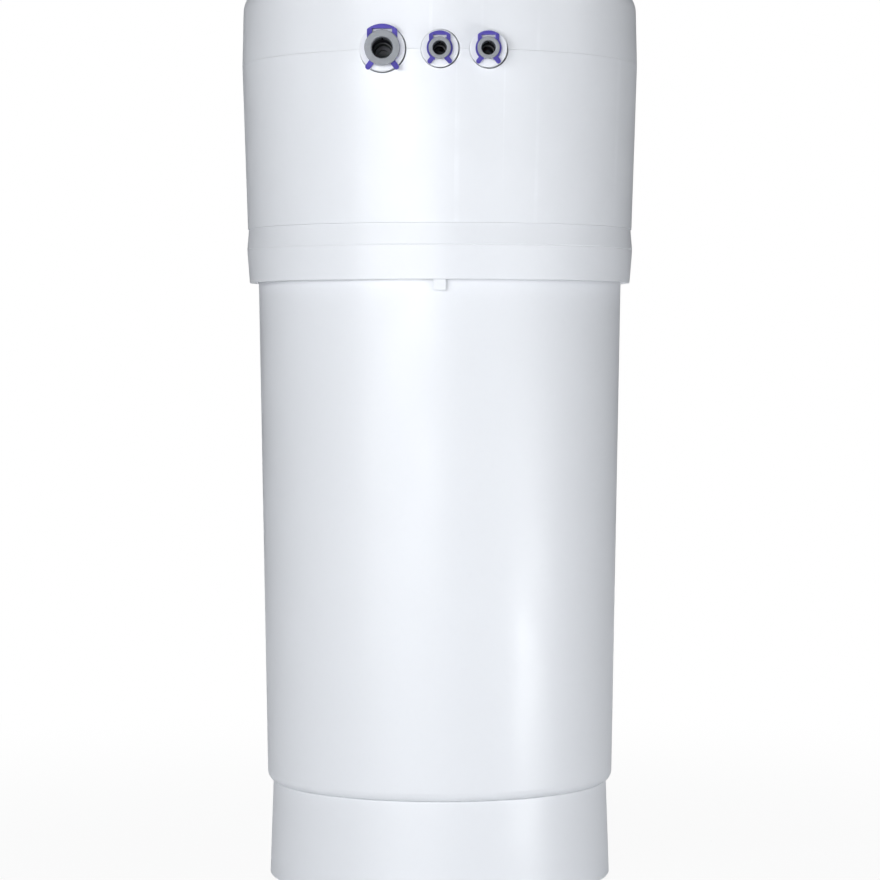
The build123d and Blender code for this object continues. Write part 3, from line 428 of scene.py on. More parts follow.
white_tank = moulded_white("white_tank", cool_white, 0.36)
waist = (dome_r + dome_pad_r) / 2
pad_level = dome_level(dome_pad_r)
pad_inside = dome_level(dome_pad_r, tank_wall)
corner_end = acos(1 - (tank_low_r - base_top_r - rim_overlap) / tank_corner_r)
corner_angles = [corner_end * (1 - k / tank_corner_steps) for k in range(tank_corner_steps + 1)]
tank_corner = [(tank_low_r - tank_corner_r * (1 - cos(angle)),
                tank_heel + tank_corner_r * (sin(corner_end) - sin(angle)), 0)
               for angle in corner_angles]
tank_outline = [(valve_hole_r, pad_level), (dome_pad_r, pad_level)]
tank_outline += arc((dome_pad_r, pad_level), (waist, dome_level(waist)), (dome_r, tank_bottom))
tank_outline += rounded([
    (dome_r, tank_bottom, 0),
    (base_bore_r - heel_inset, tank_heel, 0),
    *tank_corner,
    (tank_r, ring_bottom, 0),
    (tank_r, flange_bottom, 0),
    (flange_r, flange_bottom, flange_edge),
    (flange_r, rim, mouth_edge),
    (tank_bore_r, rim, mouth_edge),
    (tank_bore_r, ledge, 0),
    (tank_bore_r - ledge_width, ledge, mouth_edge),
    (tank_low_r - tank_wall, tank_floor, 0),
    (dome_bore_r, tank_floor, dome_edge),
    (dome_bore_r, dome_level(dome_bore_r, tank_wall), 0),
], tank_edge_steps)
tank_outline += arc((dome_bore_r, dome_level(dome_bore_r, tank_wall)),
                    (waist, dome_level(waist, tank_wall)), (dome_pad_r, pad_inside))
tank_outline += [(dome_pad_r, pad_inside), (valve_hole_r, pad_inside)]
tank_shape = lathe(tank_outline)
bosses = [rod(tank_boss_r, web_top, tank_bottom + overlap, at, boss_steps)
          for at in spots(base_screw_circle, screw_count)]
tank_shape = combine(tank_shape, bosses, "UNION")
pilots = [rod(pilot_r, web_top - overcut, web_top + pilot_depth, at, screw_steps)
          for at in spots(base_screw_circle, screw_count)]
tank_shape = combine(tank_shape, pilots)
settle(tank_shape, "tank_body", "root", white_tank, "white_tank", "tank_shell", even=True)

# Port fittings: three white push-fit bodies whose round bosses stand out through holes in
# the covers. Each holds a tube seal behind its collet and plugs into the manifold.
port_names = ("feed", "drain", "product")
port_small = {"bore": 3.25 * mm, "lip": 1.2 * mm, "stop": 16.3 * mm, "channel": 2.4 * mm,
              "bell": 0.15 * mm}
port_large = {"bore": 4.84 * mm, "lip": 2.7 * mm, "stop": 21.0 * mm, "channel": 4.0 * mm,
              "bell": 0.3 * mm}
port_sizes = {"feed": port_small, "drain": port_small, "product": port_large}
collet_wall = 0.75 * mm
collet_neck_play = 0.25 * mm
collet_grip = 0.9 * mm
collet_length = 8.6 * mm
fitting_lip = 1.2 * mm
fitting_length = 22.6 * mm
stem_length = 9.5 * mm
stem_step = 2.2 * mm
stem_groove = 2.0 * mm
stem_groove_depth = 1.5 * mm
retainer_groove = 1.6 * mm
groove_inset = 2.8 * mm
groove_width = 2.65 * mm
groove_back = fitting_length - groove_inset
groove_front = groove_back - groove_width
chamber_play = 0.4 * mm
tube_play = 0.05 * mm
seal_setback = 1.2 * mm
seal_width = 2.1 * mm
seal_thickness = 2.0 * mm
seal_front = collet_length + seal_setback
seal_back = seal_front + seal_width
boss_edge = 0.5 * mm
mouth_round = 0.25 * mm
groove_round = 0.2 * mm
back_round = 0.3 * mm
stem_round = 0.4 * mm
seat_round = 0.15 * mm
hair = 0.01 * mm
port_steps = 128
port_edge_steps = 4
# Near black painted shade for the white walls of the fittings' bores, past their mouths.
painted_bore_shade = (0.045, 0.05, 0.06)
white_fitting = moulded_white("white_fitting", cool_white, 0.34, painted_bore_shade)


def port_place(name):
    """The place of a port's front: the middle of its boss face, turned to the rear."""
    low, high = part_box(f"{name}_fitting")
    middle = (low + high) / 2
    return Matrix.Translation((middle.x, low.y, middle.z)) @ Matrix.Rotation(pi / 2, 4, "X")


def put(bm, place):
    """Moves a shape made about the Z axis to its place on the rear."""
    bmesh.ops.transform(bm, matrix=place, verts=bm.verts)
    return bm


for name in port_names:
    size = port_sizes[name]
    fitting_low, fitting_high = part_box(f"{name}_fitting")
    size["boss"] = (fitting_high.z - fitting_low.z) / 2
    lip_r = size["bore"] + collet_wall + collet_neck_play
    chamber_r = size["bore"] + collet_wall + collet_grip + chamber_play
    seat_r = size["bore"] + seal_thickness
    socket_r = size["bore"] + tube_play
    groove_r = size["boss"] - retainer_groove
    stem_r = size["boss"] - stem_step
    stem_end = fitting_length + stem_length
    stem_middle = fitting_length + stem_length / 2
    stem_core_r = stem_r - stem_groove_depth
    groove_half = stem_groove / 2
    shape = lathe(rounded([
        (lip_r, 0, mouth_round),
        (size["boss"], 0, boss_edge),
        (size["boss"], -groove_front, groove_round),
        (groove_r, -groove_front, 0),
        (groove_r, -groove_back, 0),
        (size["boss"], -groove_back, groove_round),
        (size["boss"], -fitting_length, back_round),
        (stem_r, -fitting_length, 0),
        (stem_r, -stem_middle + groove_half, 0),
        (stem_core_r, -stem_middle + groove_half, 0),
        (stem_core_r, -stem_middle - groove_half, 0),
        (stem_r, -stem_middle - groove_half, 0),
        (stem_r, -stem_end, stem_round),
        (size["channel"], -stem_end, groove_round),
        (size["channel"], -size["stop"], groove_round),
        (socket_r, -size["stop"], 0),
        (socket_r, -seal_back, seat_round),
        (seat_r, -seal_back, 0),
        (seat_r, -seal_front, 0),
        (chamber_r, -seal_front, 0),
        (chamber_r, -fitting_lip, 0),
        (lip_r, -fitting_lip, groove_round),
    ], port_edge_steps), port_steps)
    # Vertices deep inside the bore are marked to take the painted shade.
    bore_shade_mark = shape.verts.layers.float.new("bore_shade_mark")
    for vert in shape.verts:
        inside = vert.co.xy.length < chamber_r + hair and vert.co.z < -fitting_lip / 2
        vert[bore_shade_mark] = float(inside)
    settle(put(shape, port_place(name)), f"{name}_boss", "root", white_fitting,
           "white_fitting", f"{name}_fitting")

# Collets: grey acetal grip sleeves that slide in the fittings. Each has a flange for the
# fingertips, a faintly belled mouth for the tube and four slits that let its jaws spring.
collet_flange = 1.2 * mm
clip_gap = 0.2 * mm
clip_thickness = 2.0 * mm
flange_back = 2 * clip_gap + clip_thickness
collet_face = flange_back + collet_flange
collet_travel = 0.8 * mm
slit_width = 0.8 * mm
bell_depth = 0.9 * mm
jaw_gap = 0.2 * mm
bell_round = 0.15 * mm
flange_front_round = 0.35 * mm
flange_back_round = 0.25 * mm
jaw_round = 0.1 * mm
grip_round = 0.15 * mm
tip_round = 0.3 * mm


def acetal(name, colour, roughness):
    """Grey acetal: waxy, with turning-like flow rings, tiny pits and paler rubbed edges."""
    finish = Finish(name, colour, roughness)
    finish.blend(finish.ramp(finish.noise(300, 4), 0.4, 0.7, 0, 0.6),
                 tuple(0.8 * c for c in colour))
    finish.worn(tuple(min(1, 1.5 * c) for c in colour), 0.51, 0.62)
    finish.rough(finish.noise(500, 3), roughness - 0.06, roughness + 0.1)
    finish.bump(finish.noise(1500, 3), 0.012 * mm)
    return finish.material


grey_collet = acetal("grey_collet", (0.255, 0.268, 0.292), 0.38)
for name in port_names:
    size = port_sizes[name]
    bore = size["bore"]
    bell = bore + size["bell"]
    neck = bore + collet_wall
    grip = neck + collet_grip
    flange = neck + size["lip"]
    jaw_top = -(fitting_lip + collet_travel + jaw_gap)
    shape = lathe(rounded([
        (bell, collet_face, bell_round),
        (flange, collet_face, flange_front_round),
        (flange, flange_back, flange_back_round),
        (neck, flange_back, 0),
        (neck, jaw_top, jaw_round),
        (grip, jaw_top, grip_round),
        (grip, -collet_length, tip_round),
        (bore, -collet_length, jaw_round),
        (bore, collet_face - bell_depth, 0),
        (bell, collet_face - bell_depth, 0),
    ], port_edge_steps), port_steps)
    shape = combine(shape, [block((-slit_width / 2, -2 * grip, -collet_length - overcut),
                                  (slit_width / 2, 2 * grip, -fitting_lip), turn)
                            for turn in (0, pi / 2)])
    settle(put(shape, port_place(name)), f"{name}_grip_sleeve", f"{name}_collet", grey_collet,
           "grey_collet", f"{name}_collet", even=True)

# Locking clips: blue-violet snap-on plates between boss and collet flange that keep the
# collets from being pushed in. An arch above is pulled with a fingernail, and two rounded
# legs spread below.
clip_small = {"band": 1.9 * mm, "rise": 2.8 * mm, "half": 5.0 * mm, "bar": 1.8 * mm,
              "top": 1.9 * mm, "window": 1.35 * mm, "leg": 2.15 * mm, "reach": 7.75 * mm}
clip_large = {"band": 2.3 * mm, "rise": 2.85 * mm, "half": 7.05 * mm, "bar": 2.4 * mm,
              "top": 2.2 * mm, "window": 2.0 * mm, "leg": 2.5 * mm, "reach": 11.0 * mm}
clip_sizes = {"feed": clip_small, "drain": clip_small, "product": clip_large}
clip_neck_play = 0.15 * mm
clip_mouth = radians(24)
leg_angle = radians(37)
arch_corner = 0.8 * mm
arch_corner_steps = 6
arch_steps = 192
band_steps = 160
leg_steps = 48
clip_hole_steps = 128
clip_edge = 0.28 * mm
clip_edge_steps = 3
clip_merge = 0.02 * mm
least_bend = radians(0.5)


def ease(bm, width, segments=2, least=35, merge=0.06 * mm):
    """Rounds every edge of a shape that turns by more than a least angle in degrees."""
    bmesh.ops.remove_doubles(bm, verts=bm.verts, dist=merge)
    bmesh.ops.dissolve_degenerate(bm, dist=merge / 2, edges=bm.edges)
    sharp = [e for e in bm.edges
             if len(e.link_faces) == 2 and e.calc_face_angle() > radians(least)]
    bmesh.ops.bevel(bm, geom=sharp, offset=width, offset_type="OFFSET", segments=segments,
                    profile=0.5, affect="EDGES", clamp_overlap=True, material=-1)
    return bm


def tinted(name, colour, roughness):
    """Blue-violet acetal: lightly see-through, streaked by its flow and dulled on faces."""
    finish = Finish(name, colour, roughness)
    finish.shader.inputs["Specular IOR Level"].default_value = 0.12
    finish.shader.inputs["Subsurface Weight"].default_value = 0.15
    finish.shader.inputs["Subsurface Radius"].default_value = (0.4, 0.35, 1.0)
    finish.shader.inputs["Subsurface Scale"].default_value = 0.6 * mm
    finish.blend(finish.ramp(finish.noise(260, 4, (1, 1, 0.4)), 0.4, 0.7, 0, 0.7),
                 tuple(0.78 * c for c in colour))
    finish.worn(tuple(min(1, 1.45 * c + 0.02) for c in colour), 0.51, 0.62)
    finish.rough(finish.noise(420, 3), roughness - 0.06, roughness + 0.1)
    finish.bump(finish.noise(1300, 3), 0.012 * mm)
    return finish.material


blue_clip = tinted("blue_clip", (0.080, 0.064, 0.345), 0.45)
for name in port_names:
    size = clip_sizes[name]
    neck = port_sizes[name]["bore"] + collet_wall
    hole = neck + clip_neck_play
    band = hole + size["band"]
    arch = neck + port_sizes[name]["lip"] + size["rise"]
    low, high = clip_gap, clip_gap + clip_thickness
    foot = hole / 2
    wide = size["half"]
    top = sqrt(arch**2 - wide**2)
    keep = block((-wide, foot, low - overcut), (wide, 2 * arch, high + overcut))
    shape = combine(rod(arch, low, high, (0, 0), arch_steps), [keep], "INTERSECT")
    upright = [e for e in shape.edges
               if abs(e.verts[0].co.z - e.verts[1].co.z) > clip_thickness / 2
               and abs(abs(e.verts[0].co.x) - wide) < hair
               and e.verts[0].co.y > top - arch_corner]
    bmesh.ops.bevel(shape, geom=upright, offset=arch_corner / 2, offset_type="OFFSET",
                    segments=arch_corner_steps, profile=0.5, affect="EDGES",
                    clamp_overlap=True, material=-1)
    start = (hole + band) / 2
    legs = []
    for way in (-1, 1):
        middle = pi / 2 + way * leg_angle
        far = (-size["reach"] * cos(middle), -size["reach"] * sin(middle))
        legs += [rod(size["leg"] / 2, low, high, far, leg_steps),
                 block((start, -size["leg"] / 2, low), (size["reach"], size["leg"] / 2, high),
                       middle + pi)]
    shape = combine(shape, [rod(band, low, high, (0, 0), band_steps)] + legs, "UNION")
    window = block((size["bar"] - wide, arch - size["top"] - size["window"], low - overcut),
                   (wide - size["bar"], arch - size["top"], high + overcut))
    opening = rod(hole, low - overcut, high + overcut, (0, 0), clip_hole_steps)
    shape = combine(shape, [window, opening])
    wedge = bmesh.new()
    reach = 2 * arch
    corners = [(0, 0), (-reach * tan(clip_mouth), -reach), (reach * tan(clip_mouth), -reach)]
    face = wedge.faces.new([wedge.verts.new((x, y, low - overcut)) for x, y in corners])
    sides = bmesh.ops.extrude_face_region(wedge, geom=[face])["geom"]
    bmesh.ops.translate(wedge, vec=(0, 0, clip_thickness + 2 * overcut),
                        verts=[v for v in sides if isinstance(v, bmesh.types.BMVert)])
    bmesh.ops.recalc_face_normals(wedge, faces=wedge.faces)
    shape = combine(shape, [wedge])
    bmesh.ops.dissolve_limit(shape, angle_limit=least_bend, verts=shape.verts,
                             edges=shape.edges)
    ease(shape, clip_edge, clip_edge_steps, merge=clip_merge)
    settle(put(shape, port_place(name)), f"{name}_lock_clip", f"{name}_clip", blue_clip,
           "blue_clip", f"{name}_clip", even=True)

# Shroud: the lower half of the head's white cover, screwed to the head plate. A tongue at
# its top centres the lid, and drafted holes round the ports are shared with it.
shroud_low, shroud_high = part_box("shroud")
cover_steps = 384
seam = port_place("drain").translation.z
seam_gap = 0.06 * mm
ring_joint_gap = 0.05 * mm
head_wall = 3.0 * mm
shroud_flare = 2.6 * mm
seam_r = shroud_high.x
shroud_low_r = seam_r - shroud_flare
shroud_rim = seam - seam_gap / 2
tongue_play = 0.2 * mm
tongue_r = seam_r - head_wall - tongue_play
tongue_wall = 1.7 * mm
tongue_bore_r = tongue_r - tongue_wall
head_screw_circle = 85.65 * mm
head_screw_count = 4
shroud_web_inset = 4.6 * mm
web_r = head_screw_circle - shroud_web_inset
shroud_lip_height = 6.4 * mm
shroud_rim_low = shroud_rim - shroud_lip_height
port_hole_steps = 96
boss_gap = 0.32 * mm
boss_offset = (0.22 * mm, -0.14 * mm)
hole_draft = 0.05 * mm
cover_edge = 0.15 * mm
white_cover = moulded_white("white_cover", cool_white, 0.34)


def port_holes():
    """Cutters for the three port holes, a little narrower inwards. The fittings sit in them
    with their play taken up towards the upper left."""
    cutters = []
    for name in port_names:
        wide = port_sizes[name]["boss"] + boss_gap
        cutter = rod(wide - hole_draft, -groove_front, clip_gap + 2 * overcut, boss_offset,
                     port_hole_steps, wide)
        cutters.append(put(cutter, port_place(name)))
    return cutters


shroud_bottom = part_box("lock_ring")[1].z + ring_joint_gap
shroud_shape = lathe([
    (web_r, shroud_bottom),
    (shroud_low_r, shroud_bottom),
    (seam_r, shroud_rim),
    (tongue_r, shroud_rim),
    (tongue_r, shroud_high.z),
    (tongue_bore_r, shroud_high.z),
    (tongue_bore_r, shroud_rim_low),
    (seam_r - head_wall, shroud_rim_low),
    (shroud_low_r - head_wall, shroud_low.z + head_wall),
    (web_r, shroud_low.z + head_wall),
], cover_steps)
head_screw_holes = [rod(screw_hole_r, shroud_low.z - overcut,
                        shroud_low.z + head_wall + overcut, at, screw_steps)
                    for at in spots(head_screw_circle, head_screw_count)]
shroud_shape = ease(combine(shroud_shape, port_holes() + head_screw_holes), cover_edge)
settle(shroud_shape, "shroud_cover", "root", white_cover, "white_cover", "shroud", even=True)

# Lid: a white cap with a rounded shoulder and a faintly crowned top, lifted off by hand. A
# ledge inside rests on the shroud's tongue.
lid_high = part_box("lid")[1]
lid_corner = 12.0 * mm
lid_crown = 1.0 * mm
lid_ledge = 1.2 * mm
lid_top = lid_high.z - lid_crown
lid_draft = 0.6 * mm
lid_r = seam_r - lid_draft
lid_rim = seam + seam_gap / 2
lid_bore_r = tongue_r + tongue_play
lid_upper_r = lid_bore_r - lid_ledge
lid_flat_r = lid_r - lid_corner
lid_shoulder = lid_top - lid_corner
lid_ceiling = lid_top - head_wall
ceiling_corner = lid_corner - head_wall
crown_r = (lid_flat_r**2 + lid_crown**2) / (2 * lid_crown)
tongue_top = shroud_high.z
crown_steps = 8
lid_corner_steps = 20
ceiling_corner_steps = 12


def crown_level(radius):
    """Height of the lid's crowned top at a radius."""
    return lid_high.z - crown_r + sqrt(crown_r**2 - radius**2)


def corner_arc(centre, radius, first, last, steps):
    """Points of an arc about a centre in the outline, between two angles in degrees."""
    angles = [radians(first + (last - first) * k / steps) for k in range(steps + 1)]
    return [(centre[0] + radius * cos(angle), centre[1] + radius * sin(angle))
            for angle in angles]


lid_outline = [(lid_upper_r, tongue_top), (lid_bore_r, tongue_top), (lid_bore_r, lid_rim),
               (seam_r, lid_rim), (lid_r, lid_shoulder)]
lid_outline += corner_arc((lid_flat_r, lid_shoulder), lid_corner, 0, 90,
                          lid_corner_steps)[1:]
lid_outline += [(radius, crown_level(radius))
                for radius in (lid_flat_r * k / crown_steps
                               for k in range(crown_steps - 1, -1, -1))]
lid_outline += [(0, lid_ceiling)]
lid_outline += corner_arc((lid_upper_r - ceiling_corner, lid_ceiling - ceiling_corner),
                          ceiling_corner, 90, 0, ceiling_corner_steps)
lid_shape = lathe(lid_outline + lid_outline[:1], cover_steps)
lid_shape = ease(combine(lid_shape, port_holes()), cover_edge)
settle(lid_shape, "lid_cover", "lid", white_cover, "white_cover", "lid", even=True)

# Lock ring: a white clamp ring that turns on the tank's mouth. Its lip hooks under the
# tank's flange, eight lugs inside draw the head down, and a small tab at the rear starts
# the turn. A fine crease runs round its widest girth.
ring_low, ring_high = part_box("lock_ring")
ring_lip_height = 3.0 * mm
ring_lip_play = 0.6 * mm
ring_bore_play = 0.5 * mm
ring_wall = 2.1 * mm
ring_taper = 0.85 * mm
ring_lip_r = tank_r + ring_lip_play
ring_bore_r = flange_r + ring_bore_play
ring_low_r = ring_bore_r + ring_wall
ring_crease_r = ring_high.x
ring_top_r = ring_crease_r - ring_taper
ring_crease_height = 16.3 * mm
ring_crease = ring_bottom + ring_crease_height
ring_top = ring_high.z
ring_inner_edge = 0.3 * mm
ring_edge = 0.15 * mm
ring_edge_steps = 3
crease_depth = 0.18 * mm
crease_half = 0.3 * mm
crease_shoulder = 0.1 * mm
crease_root = 0.05 * mm
lug_count = 8
lug_height = 3.5 * mm
lug_width = 20
lug_play = 0.2 * mm
lug_root = 0.6 * mm
lug_low = rim + flange_height + lug_play
lug_bore_r = tank_r
tab_width = 6.1 * mm
tab_thickness = 2.2 * mm
tab_gap = 0.1 * mm
tab_corner = 0.8 * mm
tab_corner_steps = 6
tab_edge = 0.25 * mm
tab_edge_steps = 3
tab_least = 50
tab_face = ring_lip_r + tab_gap + tab_thickness


def sector(inner, outer, low, high, middle, width, steps=16):
    """A piece of a flat ring about the tank's axis, of a width in degrees."""
    bm = bmesh.new()
    start = Matrix.Rotation(radians(middle - width / 2), 4, "Z")
    corners = [(inner, 0, low), (outer, 0, low), (outer, 0, high), (inner, 0, high)]
    face = bm.faces.new([bm.verts.new(start @ Vector(corner)) for corner in corners])
    bmesh.ops.spin(bm, geom=[face], cent=(0, 0, 0), axis=(0, 0, 1), dvec=(0, 0, 0),
                   angle=radians(width), steps=steps, use_merge=False, use_duplicate=False)
    bmesh.ops.recalc_face_normals(bm, faces=bm.faces)
    return bm


white_ring = moulded_white("white_ring", cool_white, 0.34)
ring_shape = lathe(rounded([
    (ring_lip_r, ring_bottom, ring_inner_edge),
    (ring_low_r, ring_bottom, ring_edge),
    (ring_crease_r, ring_crease - crease_half, crease_shoulder),
    (ring_crease_r - crease_depth, ring_crease, crease_root),
    (ring_crease_r, ring_crease + crease_half, crease_shoulder),
    (ring_top_r, ring_top, ring_edge),
    (ring_bore_r, ring_top, ring_inner_edge),
    (ring_bore_r, ring_bottom + ring_lip_height, 0),
    (ring_lip_r, ring_bottom + ring_lip_height, ring_inner_edge),
], ring_edge_steps))
tab = block((-tab_width / 2, -tab_face, ring_low.z),
            (tab_width / 2, tab_thickness - tab_face, ring_bottom + overlap))
tab_corners = [e for e in tab.edges
               if e.verts[0].co.z < ring_bottom and e.verts[1].co.z < ring_bottom
               and abs(e.verts[0].co.y - e.verts[1].co.y) > tab_thickness / 2]
bmesh.ops.bevel(tab, geom=tab_corners, offset=tab_corner, offset_type="OFFSET",
                segments=tab_corner_steps, profile=0.5, affect="EDGES", clamp_overlap=True,
                material=-1)
ease(tab, tab_edge, tab_edge_steps, tab_least)
lugs = [sector(lug_bore_r, ring_bore_r + lug_root, lug_low, lug_low + lug_height,
               i * 360 / lug_count, lug_width) for i in range(lug_count)]
ring_shape = combine(ring_shape, [tab] + lugs, "UNION")
settle(ring_shape, "lock_ring_clamp", "lock_ring", white_ring, "white_ring", "lock_ring",
       even=True)

# Inner pieces: natural polypropylene mouldings with a grey manifold, white cartridge shells
# with blue caps, black seals, zinc-plated screws and a brass air valve. They keep their own
# shapes and get the finish of their material.


def inner_moulding(name, colour, roughness):
    """Natural plastic: milky, matt, with soft clouds and a coarse mould grain."""
    finish = Finish(name, colour, roughness)
    finish.shader.inputs["Subsurface Weight"].default_value = 0.1
    finish.shader.inputs["Subsurface Scale"].default_value = 1.5 * mm
    finish.blend(finish.ramp(finish.noise(30, 4), 0.4, 0.7, 0, 0.5),
                 tuple(0.9 * c for c in colour))
    finish.rough(finish.noise(120, 3), roughness - 0.08, roughness + 0.08)
    finish.bump(finish.noise(1100, 4), 0.015 * mm)
    return finish.material


def rubber(name, colour):
    """Moulded rubber: near black, dull, with bloom in patches and a sandy grain."""
    finish = Finish(name, colour, 0.62)
    finish.blend(finish.ramp(finish.noise(180, 4), 0.5, 0.75, 0, 0.6),
                 tuple(c + 0.03 for c in colour))
    finish.rough(finish.noise(240, 3), 0.52, 0.74)
    finish.bump(finish.noise(2200, 4), 0.02 * mm)
    return finish.material


def plated(name, colour, roughness, stretch):
    """Metal: plated or turned, with fine drawn-out scratches and duller patches."""
    finish = Finish(name, colour, roughness, 1.0)
    finish.blend(finish.ramp(finish.noise(500, 4), 0.45, 0.75, 0, 0.6),
                 tuple(0.8 * c for c in colour))
    finish.rough(finish.noise(900, 3, stretch), roughness - 0.08, roughness + 0.14)
    finish.bump(finish.noise(2500, 3, stretch), 0.01 * mm)
    return finish.material


def wound_media(name, colour):
    """Filter media: wound fibre in slanting strands over pressed grains."""
    finish = Finish(name, colour, 0.85)
    wave = finish.add("ShaderNodeTexWave", Vector=finish.place, Scale=180.0, Distortion=2.0,
                      Detail=2.0)
    wave.bands_direction = "DIAGONAL"
    finish.blend(finish.ramp(wave.outputs["Fac"], 0.2, 0.9), tuple(0.78 * c for c in colour))
    finish.bump(wave.outputs["Fac"], 0.25 * mm)
    finish.bump(finish.noise(3000, 4), 0.05 * mm)
    return finish.material


materials = {
    "white_fitting": white_fitting,
    "inner_plastic": inner_moulding("inner_plastic", (0.74, 0.75, 0.76), 0.5),
    "cartridge_shell": inner_moulding("cartridge_shell", (0.80, 0.81, 0.83), 0.42),
    "cartridge_cap": acetal("cartridge_cap", (0.075, 0.14, 0.38), 0.36),
    "filter_media": wound_media("filter_media", (0.74, 0.72, 0.67)),
    "rubber_black": rubber("rubber_black", (0.022, 0.022, 0.024)),
    "bladder_rubber": rubber("bladder_rubber", (0.09, 0.09, 0.1)),
    "steel": plated("steel", (0.60, 0.61, 0.63), 0.32, (1, 1, 6)),
    "brass": plated("brass", (0.66, 0.47, 0.20), 0.3, (1, 1, 8)),
    "tube_white": inner_moulding("tube_white", (0.82, 0.83, 0.84), 0.38),
}
for entry in frame["record"]["subparts"]:
    node = frame["nodes"][entry["node"]]
    if entry["material_slot"] in materials:
        for slot in node.material_slots:
            slot.material = materials[entry["material_slot"]]
grey_moulding = inner_moulding("grey_moulding", (0.34, 0.36, 0.40), 0.5)
for slot in frame["nodes"]["manifold"].material_slots:
    slot.material = grey_moulding

# Check valve's spring: a fine steel coil between the poppet and its plug.
spring_low, spring_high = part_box("check_spring")
spring_middle = (spring_low + spring_high) / 2
spring_size = spring_high - spring_low
spring_wire = 0.5 * mm
spring_turns = 4
spring_r = (spring_size.x - spring_wire) / 2
turn_sections = 48
wire_sides = 12
section_count = spring_turns * turn_sections
upward = Vector((0, 0, 1))
coil = bmesh.new()
sections = []
for k in range(section_count + 1):
    angle = 2 * pi * k / turn_sections
    height = (k / section_count - 0.5) * (spring_size.z - spring_wire)
    outward = Vector((cos(angle), sin(angle), 0))
    centre = spring_middle + spring_r * outward + Vector((0, 0, height))
    section = []
    for i in range(wire_sides):
        side = 2 * pi * i / wire_sides
        section.append(coil.verts.new(
            centre + spring_wire / 2 * (cos(side) * outward + sin(side) * upward)))
    sections.append(section)
for first, second in zip(sections, sections[1:]):
    for i in range(wire_sides):
        j = (i + 1) % wire_sides
        coil.faces.new((first[i], first[j], second[j], second[i]))
coil.faces.new(sections[0])
coil.faces.new(sections[-1])
bmesh.ops.recalc_face_normals(coil, faces=coil.faces)
spring = settle(coil, "check_valve_coil", "root", materials["steel"], "steel", "check_spring")
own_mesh(spring)

# Stage: a pale matt floor that keeps the object's shadow and fades to white away from it,
# under an even surround. The camera sees the surround as white, while the object gets only
# a faint light from it.
floor_r = 30
floor_sides = 64
floor_colour = (0.85, 0.855, 0.87, 1)
fade_near = 0.15
fade_far = 0.7
near_white = 0.93
surround_colour = (0.92, 0.95, 1.0, 1)
surround_strength = 0.03


def wire(tree, pairs):
    """Links each pair of an output and an input."""
    for source, target in pairs:
        tree.links.new(source, target)


floor_bm = bmesh.new()
bmesh.ops.create_circle(floor_bm, cap_ends=True, radius=floor_r, segments=floor_sides)
floor_mesh = bpy.data.meshes.new("floor")
floor_bm.to_mesh(floor_mesh)
floor_bm.free()
floor = bpy.data.objects.new("floor", floor_mesh)
bpy.context.scene.collection.objects.link(floor)
floor_material = bpy.data.materials.new("floor")
floor_material.use_nodes = True
tree = floor_material.node_tree
tree.nodes.clear()
output = tree.nodes.new("ShaderNodeOutputMaterial")
matt = tree.nodes.new("ShaderNodeBsdfDiffuse")
matt.inputs["Color"].default_value = floor_colour
glow = tree.nodes.new("ShaderNodeEmission")
glow.inputs["Color"].default_value = (1, 1, 1, 1)
glow.inputs["Strength"].default_value = 1.0
paths = tree.nodes.new("ShaderNodeLightPath")
place = tree.nodes.new("ShaderNodeTexCoord")
away = tree.nodes.new("ShaderNodeVectorMath")
away.operation = "LENGTH"
fade = tree.nodes.new("ShaderNodeMapRange")
fade.interpolation_type = "SMOOTHSTEP"
fade.inputs["From Min"].default_value = fade_near
fade.inputs["From Max"].default_value = fade_far
fade.inputs["To Min"].default_value = near_white
fade.inputs["To Max"].default_value = 1.0
share = tree.nodes.new("ShaderNodeMath")
share.operation = "MULTIPLY"
both = tree.nodes.new("ShaderNodeMixShader")
wire(tree, [
    (place.outputs["Object"], away.inputs[0]),
    (away.outputs["Value"], fade.inputs["Value"]),
    (paths.outputs["Is Camera Ray"], share.inputs[0]),
    (fade.outputs["Result"], share.inputs[1]),
    (share.outputs[0], both.inputs[0]),
    (matt.outputs[0], both.inputs[1]),
    (glow.outputs[0], both.inputs[2]),
    (both.outputs[0], output.inputs["Surface"]),
])
floor_mesh.materials.append(floor_material)

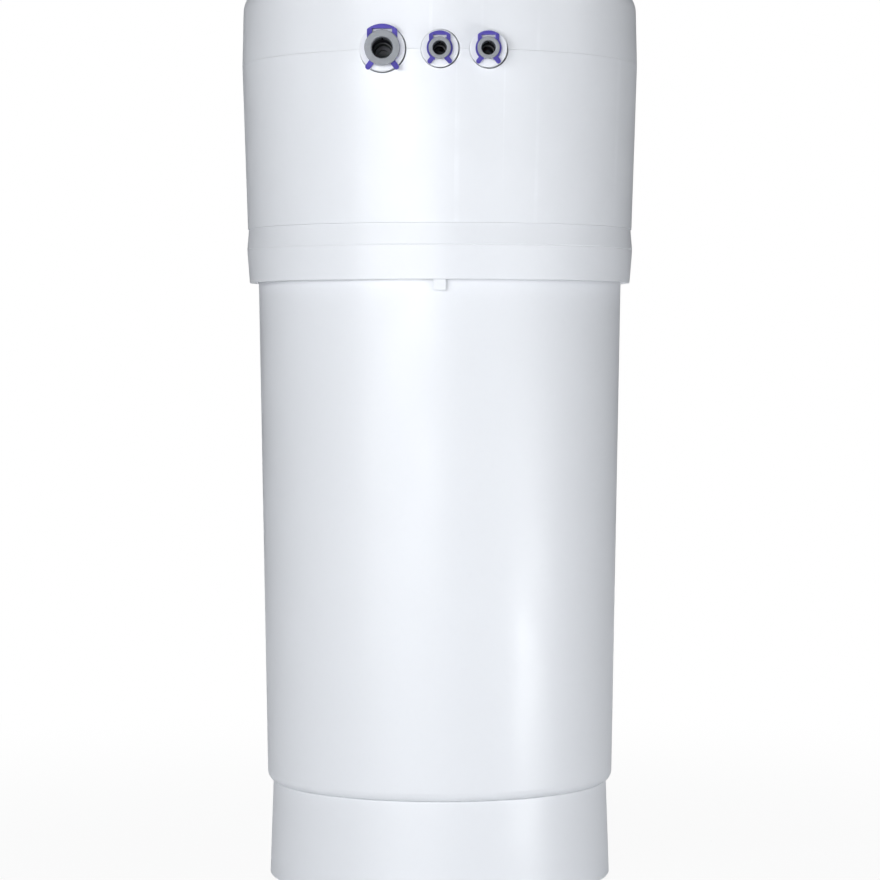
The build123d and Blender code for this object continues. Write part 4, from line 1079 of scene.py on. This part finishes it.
world = bpy.data.worlds.new("world")
bpy.context.scene.world = world
world.use_nodes = True
tree = world.node_tree
tree.nodes.clear()
output = tree.nodes.new("ShaderNodeOutputWorld")
shown = tree.nodes.new("ShaderNodeBackground")
shown.inputs["Color"].default_value = (1, 1, 1, 1)
shown.inputs["Strength"].default_value = 1.0
lit = tree.nodes.new("ShaderNodeBackground")
lit.inputs["Color"].default_value = surround_colour
lit.inputs["Strength"].default_value = surround_strength
paths = tree.nodes.new("ShaderNodeLightPath")
seen = tree.nodes.new("ShaderNodeMath")
seen.operation = "MAXIMUM"
both = tree.nodes.new("ShaderNodeMixShader")
wire(tree, [
    (paths.outputs["Is Camera Ray"], seen.inputs[0]),
    (paths.outputs["Is Transmission Ray"], seen.inputs[1]),
    (seen.outputs[0], both.inputs[0]),
    (lit.outputs[0], both.inputs[1]),
    (shown.outputs[0], both.inputs[2]),
    (both.outputs[0], output.inputs["Surface"]),
])

# Lamps: large soft panels round the object, each with its place, its width and height, its
# power in watts and the level on the tank's axis that it faces. The low one gives the band of
# light at the lower right.
lamp_colour = (0.97, 0.985, 1.0)
lamps = {
    "front": ((-0.47, -1.88, 0.44), (1.0, 0.8), 17.7, 0.25),
    "upper_left": ((-1.15, -1.44, 0.45), (0.5, 1.0), 9.0, 0.3),
    "upper_right": ((1.2, -1.45, 0.42), (0.7, 0.8), 3.5, 0.2),
    "left_side": ((-1.8, -0.33, 0.95), (0.6, 0.6), 2.4, 0.25),
    "right_side": ((1.8, -0.33, 0.95), (0.6, 0.6), 3.6, 0.25),
    "low_right": ((0.76, -0.49, 0.02), (0.3, 0.03), 1.8, 0.01),
    "top": ((0, 0.1, 1.75), (0.7, 0.7), 3.2, 0.25),
    "back": ((0, 1.9, 0.6), (0.4, 0.9), 15.0, 0.25),
}
for name, (location, size, power, level) in lamps.items():
    lamp = bpy.data.lights.new(name, "AREA")
    lamp.shape = "RECTANGLE"
    lamp.size, lamp.size_y = size
    lamp.energy = power
    lamp.color = lamp_colour
    holder = bpy.data.objects.new(name, lamp)
    holder.location = location
    facing = Vector((0, 0, level)) - Vector(location)
    holder.rotation_euler = facing.to_track_quat("-Z", "Y").to_euler()
    holder.visible_camera = False
    bpy.context.scene.collection.objects.link(holder)

bpy.context.scene.view_settings.view_transform = "Standard"
